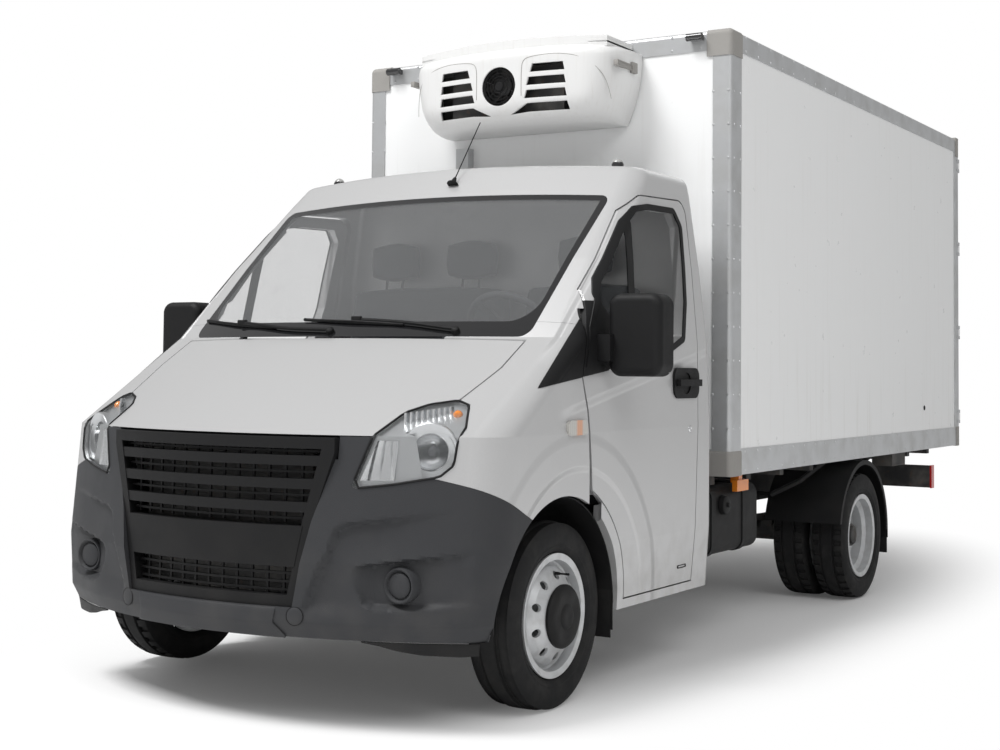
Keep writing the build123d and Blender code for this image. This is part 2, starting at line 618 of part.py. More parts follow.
def make_axles(parts):
    """Front beam, knuckles, rear axle with its differential and prop shaft, and four springs."""
    beam = block((-KINGPIN_X + 60, KINGPIN_X - 60), (-32, 32), (FRONT_BEAM_Z - 35, FRONT_BEAM_Z + 35))
    beam -= both(block((30, KINGPIN_X - 140), (12, 40), (FRONT_BEAM_Z - 24, FRONT_BEAM_Z + 24)))
    beam -= both(block((30, KINGPIN_X - 140), (-40, -12), (FRONT_BEAM_Z - 24, FRONT_BEAM_Z + 24)))
    boss = rod("Z", 38, (KINGPIN_X, 0, AXLE_Z), KING_BOSS)
    arm = block((KINGPIN_X - 100, KINGPIN_X), (-30, 30), (AXLE_Z - KING_BOSS / 2, AXLE_Z + KING_BOSS / 2))
    bore = rod("Z", KINGPIN_RADIUS + RUNNING_GAP, (KINGPIN_X, 0, AXLE_Z), 400)
    beam = beam + both(boss + arm)
    beam -= both(bore)
    beam += both(block((SPRING_X - 5, SPRING_X + SPRING_WIDTH + 5), (-60, 60),
                       (FRONT_BEAM_Z + 30, FRONT_BEAM_Z + 44)))
    parts["front_axle"] = beam

    ear = KING_BOSS / 2 + 4
    knuckle = block((KINGPIN_X - 36, KINGPIN_X + 62), (-36, 36), (AXLE_Z - ear - 26, AXLE_Z - ear))
    knuckle += block((KINGPIN_X - 36, KINGPIN_X + 62), (-36, 36), (AXLE_Z + ear, AXLE_Z + ear + 26))
    knuckle += block((KINGPIN_X + 46, KINGPIN_X + 66), (-44, 44), (AXLE_Z - ear - 26, AXLE_Z + ear + 26))
    knuckle += rod("Z", KINGPIN_RADIUS, (KINGPIN_X, 0, AXLE_Z), KING_BOSS + 70)
    stub_end = FRONT_WHEEL_X + DISC_OFFSET - 10
    knuckle += rod("X", FRONT_STUB_RADIUS, ((KINGPIN_X + 50 + stub_end) / 2, 0, AXLE_Z),
                   stub_end - KINGPIN_X - 50)
    knuckle += block((KINGPIN_X - 130, KINGPIN_X - 30), (60, 84), (AXLE_Z - ear - 46, AXLE_Z - ear - 22))
    knuckle += block((KINGPIN_X - 40, KINGPIN_X - 10), (30, 84), (AXLE_Z - ear - 46, AXLE_Z - ear - 22))
    parts["left_knuckle"] = knuckle
    parts["right_knuckle"] = mirrored(knuckle)

    stub_end = REAR_FACE_X - DISC_THICKNESS - 12
    axle = rod("X", REAR_STUB_RADIUS, (0, WHEELBASE, AXLE_Z), 2 * stub_end)
    axle += rod("X", 55, (0, WHEELBASE, AXLE_Z), 2 * 620)
    axle += Pos(60, WHEELBASE, AXLE_Z) * Sphere(150)
    axle += rod("Y", 60, (60, WHEELBASE - 150, AXLE_Z + 20), 140)
    seat = block((SPRING_X, SPRING_X + SPRING_WIDTH), (WHEELBASE - 55, WHEELBASE + 55),
                 (AXLE_Z, REAR_SPRING_SEAT_Z))
    axle += both(seat)
    axle += tube_run([(0, 903, 500), (60, WHEELBASE - 200, AXLE_Z + 22)], 38)
    parts["rear_axle"] = axle

    front = spring_pack(0, 1150, 95, FRONT_BEAM_Z + 44 + SEAT_GAP)
    rear = spring_pack(WHEELBASE, 1300, 90, REAR_SPRING_SEAT_Z + SEAT_GAP)
    parts["leaf_springs"] = both(front + rear)


def tube_run(points, radius):
    """Straight round bars through the points, with a ball at each inner corner."""
    run = None
    for start, end in zip(points, points[1:]):
        direction = Vector(*end) - Vector(*start)
        plane = Plane(origin=start, z_dir=direction)
        bar = plane * Cylinder(radius, direction.length, align=(Align.CENTER, Align.CENTER, Align.MIN))
        run = bar if run is None else run + bar
    for corner in points[1:-1]:
        run += Pos(*corner) * Sphere(radius)
    return run


def make_driveline(parts):
    """Engine and gearbox as one plain block, radiator and exhaust."""
    engine = block((-230, 230), (-480, 10), (420, 980))
    engine += block((-150, 150), (5, 320), (430, FLOOR_Z - 60))
    engine += block((-110, 110), (315, 900), (440, 620))
    web_x = RAIL_OUTER_X - RAIL_SHEET - SEAT_GAP
    engine += block((-web_x, web_x), (-220, -160), (555, 600))
    radiator = block((-380, 380), (RAIL_FRONT_Y - 50, RAIL_FRONT_Y - SEAT_GAP), (440, 930))
    parts["engine_block"] = engine + radiator
    pipe = tube_run([(-230 - SEAT_GAP, -60, 470), (-290, -60, 470), (-290, 1250, 460),
                     (-560, 1550, 430), (-560, 2750, 430), (-930, 2790, 430)], 28)
    pipe += rod("Y", 88, (-560, 1980, 430), 560)
    pipe += block((-560, -RAIL_OUTER_X - SEAT_GAP), (1960, 2000), (506, 520))
    parts["exhaust"] = pipe


def front_liner():
    """Liner over the left front wheel, with its flap behind the wheel."""
    liner = rod("X", ARCH_RADIUS - PANEL_GAP, (765, ARCH_Y, AXLE_Z), 410, ARCH_RADIUS - 6)
    liner -= block((400, FAR_X), (ARCH_Y - 500, ARCH_Y + 500), (-200, AXLE_Z))
    inner_y = ARCH_Y + ARCH_RADIUS
    flap = block((560, 970), (inner_y - 8, inner_y - 3), (LINER_FOOT_Z, AXLE_Z + 5))
    return liner + flap


def make_side_gear(parts):
    """Side tank with its straps, mudguards, underrun bar and rear lamps."""
    tank = block(TANK_X, TANK_Y, TANK_Z)
    tank = fillet(tank.edges().filter_by(Axis.Y), 55)
    for share in (0.2, 0.75):
        y = TANK_Y[0] + share * (TANK_Y[1] - TANK_Y[0])
        strap = block((TANK_X[0] - 5, TANK_X[1] + 5), (y - 22, y + 22),
                      (TANK_Z[0] - 5, TANK_Z[1] + 5))
        tank += fillet(strap.edges().filter_by(Axis.Y), 58)
        tank += block((RAIL_OUTER_X + SEAT_GAP, TANK_X[0] + 20), (y - 22, y + 22),
                      (RAIL_BOTTOM + 10, RAIL_TOP - 10))
    parts["side_tank"] = tank
    guard = rod("X", MUDGUARD_RADIUS, ((MUDGUARD_X[0] + MUDGUARD_X[1]) / 2, WHEELBASE, AXLE_Z),
                MUDGUARD_X[1] - MUDGUARD_X[0], MUDGUARD_RADIUS - 6)
    guard += rod("X", MUDGUARD_RADIUS, (MUDGUARD_X[1] - 5, WHEELBASE, AXLE_Z), 10,
                 MUDGUARD_RADIUS - 24)
    guard -= block((0, FAR_X), (WHEELBASE - 500, WHEELBASE), (-100, AXLE_Z + 90))
    guard -= block((0, FAR_X), (WHEELBASE, WHEELBASE + 500), (-100, AXLE_Z))
    flap = block(MUDGUARD_X, (WHEELBASE + MUDGUARD_RADIUS - 6, WHEELBASE + MUDGUARD_RADIUS),
                 (AXLE_Z - 45, AXLE_Z + 1))
    guard += flap
    for end in (-1, 1):
        y = WHEELBASE + end * 330
        guard += block((RAIL_OUTER_X + SEAT_GAP, MUDGUARD_X[0] + 5), (y - 15, y + 15),
                       (AXLE_Z + 215, AXLE_Z + 236))
    parts["mudguards"] = both(guard + front_liner())

    bar = block((-UNDERRUN_HALF, UNDERRUN_HALF), (UNDERRUN_Y - 25, UNDERRUN_Y + 25), UNDERRUN_Z)
    bar -= block((-UNDERRUN_HALF - 1, UNDERRUN_HALF + 1), (UNDERRUN_Y - 21, UNDERRUN_Y + 26),
                 (UNDERRUN_Z[0] + 4, UNDERRUN_Z[1] - 4))
    for sign in (-1, 1):
        low, high = sorted((sign * (RAIL_OUTER_X + SEAT_GAP), sign * (RAIL_OUTER_X + 12)))
        bar += block((low, high), (UNDERRUN_Y - 130, UNDERRUN_Y - 22), (UNDERRUN_Z[0] + 1, UNDERRUN_Z[1]))
    parts["underrun_bar"] = bar
    end = block((UNDERRUN_HALF + SEAT_GAP, UNDERRUN_HALF + 12), (UNDERRUN_Y - 27, UNDERRUN_Y + 27),
                (UNDERRUN_Z[0] - 3, UNDERRUN_Z[1] + 3))
    lamp = block((620, 900), (UNDERRUN_Y - 21 + SEAT_GAP, UNDERRUN_Y + 40),
                 (UNDERRUN_Z[0] + 10, UNDERRUN_Z[1] - 10))
    parts["rear_lamps"] = both(end + lamp)


# ---- Inside the cab --------------------------------------------------------------------
def make_interior(parts):
    """Floor with its step wells, dashboard, seats and steering wheel."""
    floor = block((-870, 870), (30, CAB_REAR_Y - CAB_WALL - SEAT_GAP), (FLOOR_Z - 35, FLOOR_Z))
    floor += block((-870, 870), (30, 62 - SEAT_GAP), (FLOOR_Z - 35, 1290))
    well = block((862, 872), (430, 1180), (SILL_Z + 40, FLOOR_Z))
    well += block((862, 938), (430, 1180), (SILL_Z + 25, SILL_Z + 40))
    well += block((862, 938), (430, 440), (SILL_Z + 25, FLOOR_Z))
    well += block((862, 938), (1170, 1180), (SILL_Z + 25, FLOOR_Z))
    well += block((930, 940), (440, 1170), (SILL_Z + 25, SILL_Z + 33))
    for y in (300, 1120):
        well += block((RAIL_OUTER_X - RAIL_WIDTH, RAIL_OUTER_X), (y - 40, y + 40),
                      (RAIL_TOP + SEAT_GAP, FLOOR_Z - 30))
    # door hinges: a post inside the cab, and at each height two lugs with a pin through them
    well += block((852, 870), (60, 215), (FLOOR_Z - 30, 1290))
    for z in DOOR_HINGES:
        for low in (z - 30, z + 14):
            well += block((860, DOOR_PIN[0]), (DOOR_PIN[1] - 11, DOOR_PIN[1] + 11), (low, low + 16))
            well += rod("Z", 13, (*DOOR_PIN, low + 8), 16)
        well += rod("Z", DOOR_HINGE_RADIUS, (*DOOR_PIN, z), 60)
    # bonnet hinges: a lug forward of the bulkhead and the pin through it
    pin_y, pin_z = BONNET_PIN
    well += block((660, 670), (pin_y - 10, 62 - SEAT_GAP), (pin_z - 50, pin_z + 10))
    well += rod("X", BONNET_HINGE_RADIUS, (665, pin_y, pin_z), 52)
    floor += both(well)
    parts["cab_floor"] = floor - arch_cut(ARCH_RADIUS + 5)

    dash = side_prism([(62, FLOOR_Z + 250), (62, 1285), (150, 1322), (300, 1335), (420, 1300),
                       (455, 1220), (430, 1050), (250, 960)], (-850, 850), 20)
    binnacle = side_prism([(250, 1250), (300, 1392), (400, 1398), (450, 1300), (440, 1200)],
                          (STEER_X - 190, STEER_X + 190), 20)
    dash += binnacle
    dash -= block((-300, 300), (380, 500), (1090, 1210))
    parts["dashboard"] = dash

    seats = None
    for low, high in ((-800, 60), (160, 720)):
        cushion = block((low, high), (SEAT_Y, SEAT_Y + 500), (SEAT_Z - 130, SEAT_Z))
        cushion = fillet(cushion.edges(), 35)
        base = block((low + 40, high - 40), (SEAT_Y + 40, SEAT_Y + 460), (FLOOR_Z + SEAT_GAP, SEAT_Z - 120))
        back = side_prism([(SEAT_Y + 440, SEAT_Z - 60), (SEAT_Y + 560, SEAT_Z - 60),
                           (SEAT_Y + 640, SEAT_Z + 580), (SEAT_Y + 560, SEAT_Z + 590)],
                          (low, high), 30)
        pair = cushion + base + back
        rests = ((low + high) / 2,) if high - low < 700 else (low + 210, high - 210)
        for x in rests:
            pair += block((x - 40, x + 40), (SEAT_Y + 590, SEAT_Y + 615), (SEAT_Z + 560, SEAT_Z + 640))
            rest = block((x - 130, x + 130), (SEAT_Y + 560, SEAT_Y + 650), (SEAT_Z + 620, SEAT_Z + 790))
            pair += fillet(rest.edges(), 30)
        seats = pair if seats is None else seats + pair
    parts["seats"] = seats

    tilt = Plane(origin=(STEER_X, STEER_Y, STEER_Z), z_dir=(0, sin(radians(50)), sin(radians(40))))
    wheel = Torus(STEER_RADIUS, 15)
    wheel += Pos(0, 0, -25) * Cylinder(62, 40)
    for angle in (0, 120, 240):
        wheel += Rot(0, 0, angle + 90) * Pos(STEER_RADIUS / 2, 0, -12) * Box(STEER_RADIUS - 4, 34, 14)
    parts["steering_wheel"] = tilt * wheel
    column = tilt * (Pos(0, 0, -45 - SEAT_GAP - 75) * Cylinder(38, 150))
    parts["dashboard"] = parts["dashboard"] + column


# ---- Box -------------------------------------------------------------------------------
def round_box(x, y, z, radius):
    """A box whose front upright edges and long top edges are rounded."""
    solid = block(x, y, z)
    solid = fillet(solid.edges().filter_by(Axis.Z).sort_by(Axis.Y)[:2], radius)
    return fillet(solid.edges().filter_by(Axis.Y).sort_by(Axis.Z)[-2:], radius)


def make_box(parts):
    """Insulated panels, extruded frame, corner castings and floor."""
    skin_x = BOX_HALF_WIDTH - BOX_SKIN_INSET
    inner_x = skin_x - BOX_WALL
    top = BOX_TOP - BOX_SKIN_INSET
    front = BOX_FRONT_Y + BOX_SKIN_INSET
    rear = BOX_REAR_Y - LEAF_THICK - 8
    floor_top = BOX_BOTTOM + BOX_FLOOR
    foot = floor_top - FLOOR_DECK
    inset_corner = BOX_CORNER - BOX_SKIN_INSET
    panels = round_box((-skin_x, skin_x), (front, rear), (foot + SEAT_GAP, top), inset_corner)
    panels -= block((-inner_x, inner_x), (front + BOX_WALL, rear + 1), (foot, top - BOX_WALL))
    parts["box_panels"] = panels
    floor = block((-skin_x + 20, skin_x - 20), (front + 20, rear), (BOX_BOTTOM + SEAT_GAP, foot))
    floor += block((-inner_x + SEAT_GAP, inner_x - SEAT_GAP),
                   (front + BOX_WALL + SEAT_GAP, rear), (foot - 1, floor_top))
    parts["box_floor"] = floor

    # extrusions: posts and rails wrap the panels' edges from outside
    wide_x = (-BOX_HALF_WIDTH, BOX_HALF_WIDTH)
    wrap = round_box(wide_x, (BOX_FRONT_Y, BOX_REAR_Y), (BOX_BOTTOM, BOX_TOP), BOX_CORNER)
    core = round_box((-skin_x - SEAT_GAP, skin_x + SEAT_GAP), (front - SEAT_GAP, rear + 60),
                     (BOX_BOTTOM - 1, top + SEAT_GAP), inset_corner)
    portal_x = skin_x - 6
    portal = block((-portal_x, portal_x), (rear - 1, BOX_REAR_Y + 1), (BOX_BOTTOM + 22, top - 6))
    rails = (BOX_BOTTOM + RAIL_FACE_BOTTOM, BOX_TOP - RAIL_FACE_TOP)
    post_x = BOX_HALF_WIDTH - POST_FACE
    side_open = block((-FAR_X, FAR_X), (BOX_FRONT_Y + POST_SIDE, BOX_REAR_Y - POST_FACE), rails)
    front_open = block((-post_x, post_x), (BOX_FRONT_Y - 1, BOX_FRONT_Y + 300), rails)
    top_open = block((-post_x, post_x), (BOX_FRONT_Y + POST_FACE, BOX_REAR_Y - POST_FACE),
                     (top - 50, BOX_TOP + 1))
    parts["box_frame"] = wrap - [core, side_open, front_open, top_open, portal]

    castings = None
    for z in ((BOX_BOTTOM - 4, BOX_BOTTOM + CASTING), (BOX_TOP - CASTING, BOX_TOP + 4)):
        grown = round_box((0, BOX_HALF_WIDTH + 4), (BOX_FRONT_Y - 4, BOX_FRONT_Y + CASTING), z,
                          BOX_CORNER + 4)
        castings = grown if castings is None else castings + grown
        tail = block((BOX_HALF_WIDTH - 60, BOX_HALF_WIDTH + 4), (BOX_REAR_Y - 70, BOX_REAR_Y - 8), z)
        castings += tail
    hollow = round_box((-BOX_HALF_WIDTH - SEAT_GAP, BOX_HALF_WIDTH + SEAT_GAP),
                       (BOX_FRONT_Y - SEAT_GAP, BOX_REAR_Y), (BOX_BOTTOM - SEAT_GAP, BOX_TOP + SEAT_GAP),
                       BOX_CORNER)
    castings -= hollow
    castings -= block((0, BOX_HALF_WIDTH - CASTING), (BOX_FRONT_Y - 10, BOX_REAR_Y + 10),
                      (BOX_BOTTOM - 10, BOX_TOP + 10))
    parts["box_castings"] = both(castings)


def make_box_doors(parts):
    """Two insulated rear leaves on outboard pins, with straps, lock bars and their guides."""
    leaf_rear = BOX_REAR_Y
    leaf_x = (7, BOX_HALF_WIDTH - 16)
    leaf_z = (BOX_BOTTOM + 28, BOX_TOP - 18)
    leaf = block(leaf_x, (leaf_rear - LEAF_THICK, leaf_rear), leaf_z)
    pin_x = BOX_HALF_WIDTH - DOOR_PIN_RADIUS - 1
    pin_y = BOX_REAR_Y + DOOR_PIN_RADIUS + 8
    lugs = None
    for share in HINGE_SHARES:
        z = leaf_z[0] + share * (leaf_z[1] - leaf_z[0])
        leaf += block((leaf_x[1] - 190, leaf_x[1] - 20), (leaf_rear, leaf_rear + 5), (z - 28, z + 28))
        leaf += block((leaf_x[1] - 60, pin_x), (leaf_rear, pin_y - 8), (z - 18, z + 18))
        leaf += rod("Z", DOOR_PIN_RADIUS + 5, (pin_x, pin_y, z), 36)
        for end in (-1, 1):
            lug = rod("Z", DOOR_PIN_RADIUS + 5, (pin_x, pin_y, z + end * 32), 22)
            lug += block((BOX_HALF_WIDTH - 8, BOX_HALF_WIDTH + 3), (BOX_REAR_Y - 30, pin_y),
                         (z + end * 32 - 11, z + end * 32 + 11))
            lug -= block((0, BOX_HALF_WIDTH + SEAT_GAP), (BOX_REAR_Y - 40, BOX_REAR_Y + SEAT_GAP),
                         (z - 60, z + 60))
            lugs = lug if lugs is None else lugs + lug
        pin = rod("Z", DOOR_PIN_RADIUS - 2, (pin_x, pin_y, z), 86)
        leaf -= rod("Z", DOOR_PIN_RADIUS - 2 + RUNNING_GAP, (pin_x, pin_y, z), 86)
        lugs += pin
    bar_x = 130
    bars = rod("Z", 14, (bar_x, leaf_rear + 20, sum(leaf_z) / 2), leaf_z[1] - leaf_z[0] - 20)
    for share in (0.03, 0.3, 0.62, 0.97):
        z = leaf_z[0] + share * (leaf_z[1] - leaf_z[0])
        bars += block((bar_x - 45, bar_x + 45), (leaf_rear, leaf_rear + 30), (z - 22, z + 22))
    handle_z = leaf_z[0] + 330
    bars += block((bar_x, bar_x + 330), (leaf_rear + 24, leaf_rear + 36), (handle_z - 14, handle_z + 14))
    bars += block((bar_x + 270, bar_x + 340), (leaf_rear, leaf_rear + 26), (handle_z - 30, handle_z + 30))
    leaf += bars
    parts["left_box_door"] = leaf
    parts["right_box_door"] = mirrored(leaf)
    parts["box_frame"] = parts["box_frame"] + both(lugs)


# ---- Cooling unit ----------------------------------------------------------------------
def unit_form(inset=0):
    """The cooling unit's moulded form: bowed front, drawn in towards its foot."""
    wall_y = BOX_FRONT_Y - SEAT_GAP
    sections = []
    # z, half width, front y at the middle, depth of the ends from the wall
    for z, half, nose, end in ((UNIT_BOTTOM, 470, UNIT_FRONT_Y + 75, 190),
                               (UNIT_BOTTOM + 70, 545, UNIT_FRONT_Y + 8, 215),
                               (UNIT_TOP - 110, UNIT_HALF_WIDTH, UNIT_FRONT_Y, 230),
                               (UNIT_TOP, UNIT_HALF_WIDTH - 25, UNIT_FRONT_Y + 60, 210)):
        half -= inset
        nose += inset
        end_y = wall_y - end + inset
        arc = ThreePointArc((-half, end_y, z), (0, nose, z), (half, end_y, z))
        rest = Polyline((half, end_y, z), (half, wall_y + inset, z), (-half, wall_y + inset, z),
                        (-half, end_y, z))
        face = make_face([arc, *rest.edges()])
        face = fillet(face.vertices().sort_by(Axis.Y)[:2], 90)
        sections.append(face)
    form = None
    for low, high in zip(sections, sections[1:]):
        slab = loft([low, high], ruled=True)
        form = slab if form is None else form + slab
    return form


def make_cooling(parts):
    """Nose-mounted cooling unit with its slots and fan, upper hood, duct and evaporator."""
    form = unit_form()
    shell = form - unit_form(14)
    cuts = [rod("Y", FAN_OPENING, (0, UNIT_FRONT_Y, FAN_Z), 240)]
    for sign in (-1, 1):
        for i in range(4):
            z = FAN_Z + 78 - i * 52
            inner = 112 + 18 * (i % 3)
            low, high = sorted((sign * inner, sign * 400))
            cuts.append(block((low, high), (UNIT_FRONT_Y - 40, UNIT_FRONT_Y + 190), (z - 15, z + 15)))
    shell -= cuts
    hood = side_prism([(UNIT_FRONT_Y + 120, UNIT_TOP - 1), (BOX_FRONT_Y - SEAT_GAP, UNIT_TOP - 1),
                       (BOX_FRONT_Y - SEAT_GAP, UNIT_TOP + 62), (UNIT_FRONT_Y + 240, UNIT_TOP + 58)],
                      (-UNIT_HALF_WIDTH + 40, UNIT_HALF_WIDTH - 40))
    parts["unit_shell"] = shell + hood
    fan_y = UNIT_FRONT_Y + 70
    fan = rod("Y", FAN_OPENING + 22, (0, fan_y, FAN_Z), 34, FAN_OPENING + 6)
    fan += rod("Y", 42, (0, fan_y, FAN_Z), 34)
    for i in range(8):
        fan += Pos(0, fan_y, FAN_Z) * Rot(0, 45 * i, 0) * Pos(68, 0, 0) * Rot(28, 0, 0) * Box(82, 5, 40)
    wall_y = BOX_FRONT_Y + BOX_SKIN_INSET - SEAT_GAP
    core = block((-300, 300), (fan_y + 16, fan_y + 90), (UNIT_BOTTOM + 90, UNIT_TOP - 90))
    core += block((-400, 400), (fan_y + 85, wall_y), (UNIT_BOTTOM + 90, UNIT_TOP - 90))
    parts["unit_core"] = core + fan
    parts["unit_duct"] = block(DUCT_X, (BOX_FRONT_Y - 45, wall_y),
                               (BOX_BOTTOM + 150, UNIT_BOTTOM - SEAT_GAP))
    inside = BOX_FRONT_Y + BOX_SKIN_INSET + BOX_WALL + SEAT_GAP
    ceiling = BOX_TOP - BOX_SKIN_INSET - BOX_WALL - SEAT_GAP
    evaporator = side_prism([(inside, ceiling), (inside, ceiling - 260), (inside + 120, ceiling - 280),
                             (inside + 420, ceiling - 160), (inside + 420, ceiling)], (-520, 520), 12)
    parts["evaporator"] = evaporator


# ---- Trim and lamps --------------------------------------------------------------------
# front view (x, z): pivot, then the arm's end and the blade's points
WIPERS = (
    ((-21, 1350), (-140, 1355), (-268, 1362), (-400, 1372), (-530, 1382), (-660, 1393), (-790, 1404)),
    ((528, 1351), (436, 1364), (344, 1376), (210, 1382), (80, 1388), (-50, 1394), (-180, 1400)),
)
WIPER_LIFT = 10


def on_screen(x, z, lift):
    """A point that stands off the windscreen's outer face at one place of its front view."""
    low_z, low_y, _, low_radius, _ = CAB_LEVELS[3]
    high_z, high_y, _, high_radius, _ = CAB_LEVELS[4]
    share = (z - low_z) / (high_z - low_z)
    radius = low_radius + share * (high_radius - low_radius)
    y = low_y + share * (high_y - low_y) + radius - sqrt(radius**2 - x**2)
    out = Vector(x / radius, -1, (high_y - low_y) / (high_z - low_z)).normalized() * lift
    return (x + out.X, y + out.Y, z + out.Z)


def make_trim(parts):
    """Mirrors, handles, window trim, wheel arch liners, lamps, wipers and lower lip."""
    head_y = MIRROR_Y
    head = block(MIRROR_X, (head_y - 55, head_y + 60), MIRROR_Z)
    head = fillet(head.edges().filter_by(Axis.Y), 48)
    head = fillet(head.faces().sort_by(Axis.Y)[0].edges(), 30)
    head -= block((MIRROR_X[0] + 12, MIRROR_X[1] - 12), (head_y + 48, head_y + 70),
                  (MIRROR_Z[0] + 14, MIRROR_Z[1] - 14))
    arm = block((990, MIRROR_X[0] + 30), (head_y - 85, head_y + 15), (1245, 1345))

    near = cab_form(-SEAT_GAP, -SEAT_GAP, -SEAT_GAP)
    raised = cab_form(-TRIM_RAISE, -TRIM_RAISE, 0) - near
    surround = window_prism(22) - window_prism(-3)
    divider = side_prism([(598, 1830), (545, 1830), (462, 1240), (515, 1240)], (600, FAR_X))
    corner = side_prism([(350, 1244), (350, 1400), (240, 1480), (160, 1372), (118, 1222)],
                        (600, FAR_X))
    zone = surround + (divider & window_prism(10)) + corner
    trim = raised & zone
    trim = trim.solids().sort_by(SortBy.VOLUME)[-1]
    handle = block((990, 1003), (852, 1092), (1100, 1225))
    handle = fillet(handle.edges().filter_by(Axis.X), 40)
    handle -= rod("X", 44, (1006, 966, 1162), 16)
    handle += block((998, 1022), (870, 1080), (1150, 1178))
    handle = (handle - near).solids().sort_by(SortBy.VOLUME)[-1]
    trim = trim + handle + ((head + arm) - near)
    parts["left_door_trim"] = trim
    parts["right_door_trim"] = mirrored(trim)

    wing_zone = side_prism([(-190, 1152), (84, 1192), (136, 1366), (24, 1386)], (600, FAR_X))
    wing_trims = both((raised & wing_zone) - bonnet_prism(8) - cab_form(-0.7, -0.7, -0.7))

    repeater = block((990, 1010), (-42, 104), (978, 1032))
    repeater = fillet(repeater.edges().filter_by(Axis.X), 24) - near
    repeater = repeater.solids().sort_by(SortBy.VOLUME)[-1]

    strip = raised & block((-440, 440), (-FRONT_OVERHANG, -600), (SILL_Z + 4, SILL_Z + 96))
    lip = Cylinder(1640, 74) - Cylinder(1600, 74)
    lip = Pos(0, NOSE_Y + NOSE_RADIUS, SILL_Z - 37 - SEAT_GAP) * lip
    lip &= block((-700, 700), (-900, -560), (200, 420))
    parts["front_lip"] = strip + lip

    wipers = None
    for places in WIPERS:
        points = [on_screen(x, z, WIPER_LIFT) for x, z in places]
        arm = rod("Z", WIPER_LIFT - 2, points[0], WIPER_LIFT)
        for start, end in zip(points, points[1:]):
            arm += tube_run([start, end], WIPER_LIFT / 2)
            arm += Pos(*end) * Box(WIPER_LIFT + 2, WIPER_LIFT + 2, WIPER_LIFT + 2)
        wipers = arm if wipers is None else wipers + arm
    parts["cab_trims"] = wing_trims + wipers

    dome = Cylinder(26, 22, align=(Align.CENTER, Align.CENTER, Align.MIN)) + Pos(0, 0, 20) * Sphere(24)
    dome &= Pos(0, 0, 50) * Box(100, 100, 100)
    dome = Pos(730, 865, ROOF_LAMP_Z) * dome - near
    lamp = rod("X", 17, (825, BOX_FRONT_Y - 34, 2705), 74)
    lamp += block((795, 855), (BOX_FRONT_Y - 30, BOX_FRONT_Y - SEAT_GAP), (2692, 2718))
    amber = block((915, 940), (1650, 1780), (672, 722))
    amber += block((890, 930), (1690, 1730), (708, BOX_BOTTOM - SEAT_GAP))
    parts["marker_lamps"] = both(repeater + dome + lamp + amber)


def save(parts):
    """Write one STEP file a piece, moved so that the origin is midway along the floor."""
    os.makedirs("parts", exist_ok=True)
    for name, shape in parts.items():
        solids = shape.solids()
        piece = solids[0] if len(solids) == 1 else Compound(children=list(solids))
        export_step(piece.moved(Location((0, -ORIGIN_Y, 0))), f"parts/{name}.step")


def main():
    parts = {}
    make_cab(parts)
    make_grille(parts)
    make_wheels(parts)
    make_frame(parts)
    make_axles(parts)
    make_driveline(parts)
    make_side_gear(parts)
    make_interior(parts)
    make_box(parts)
    make_box_doors(parts)
    make_cooling(parts)
    make_trim(parts)
    save(parts)


if __name__ == "__main__":
    main()
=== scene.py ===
"""Dresses the refrigerated truck: finishes for every part, and the small pieces the solids leave out."""
import bpy
import json
from math import atan2, cos, pi, radians, sin, sqrt
from mathutils import Matrix, Vector
from mathutils.bvhtree import BVHTree


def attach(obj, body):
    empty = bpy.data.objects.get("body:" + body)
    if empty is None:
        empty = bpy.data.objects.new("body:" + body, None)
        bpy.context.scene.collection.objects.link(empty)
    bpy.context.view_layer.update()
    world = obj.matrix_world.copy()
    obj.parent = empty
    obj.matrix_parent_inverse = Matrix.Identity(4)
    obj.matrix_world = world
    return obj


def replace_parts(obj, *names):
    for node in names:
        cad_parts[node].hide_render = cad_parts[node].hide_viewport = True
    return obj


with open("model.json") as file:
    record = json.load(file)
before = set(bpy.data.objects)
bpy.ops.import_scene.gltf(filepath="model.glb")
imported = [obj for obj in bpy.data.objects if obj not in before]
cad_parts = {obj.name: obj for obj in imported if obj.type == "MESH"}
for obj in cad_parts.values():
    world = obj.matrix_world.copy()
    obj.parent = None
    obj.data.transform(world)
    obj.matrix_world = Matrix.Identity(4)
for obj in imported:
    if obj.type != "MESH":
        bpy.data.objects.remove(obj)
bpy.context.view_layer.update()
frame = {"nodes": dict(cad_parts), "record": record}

SHIFT_Y = 2.193          # front axle's centre line to the origin
AXLE_Z = 0.335
WHEELBASE = 3.3
SIDES = (("left", 1), ("right", -1))
MERGED = 0.00005         # points nearer than this are one point


# ---- Shader maths ------------------------------------------------------------------------
class Socket:
    """A shader value that adds its own nodes when it is used in arithmetic."""

    def __init__(self, finish, link):
        self.finish = finish
        self.link = link

    def apply(self, operation, *others):
        """A new value: the result of one maths node."""
        return self.finish.node("ShaderNodeMath", {"operation": operation}, self, *others)["Value"]

    def __add__(self, other):
        return self.apply("ADD", other)

    def __mul__(self, other):
        return self.apply("MULTIPLY", other)

    def __sub__(self, other):
        return self.apply("SUBTRACT", other)

    def __rsub__(self, other):
        return (self * -1) + other

    def __abs__(self):
        return self.apply("ABSOLUTE")

    def root(self):
        """The square root."""
        return self.apply("SQRT")

    def wave(self):
        """The sine."""
        return self.apply("SINE")

    def least(self, other):
        """The smaller of two values."""
        return self.apply("MINIMUM", other)

    def most(self, other):
        """The larger of two values."""
        return self.apply("MAXIMUM", other)

    def step(self, low, high, *ends):
        """0 below one value and 1 above the other, or two other ends, with a soft change between."""
        settings = {"interpolation_type": "SMOOTHSTEP"}
        return self.finish.node("ShaderNodeMapRange", settings, self, low, high, *ends)["Result"]


class Outputs:
    """The outputs of one node, by name."""

    def __init__(self, finish, node):
        self.finish = finish
        self.node = node

    def __getitem__(self, name):
        return Socket(self.finish, self.node.outputs[name])


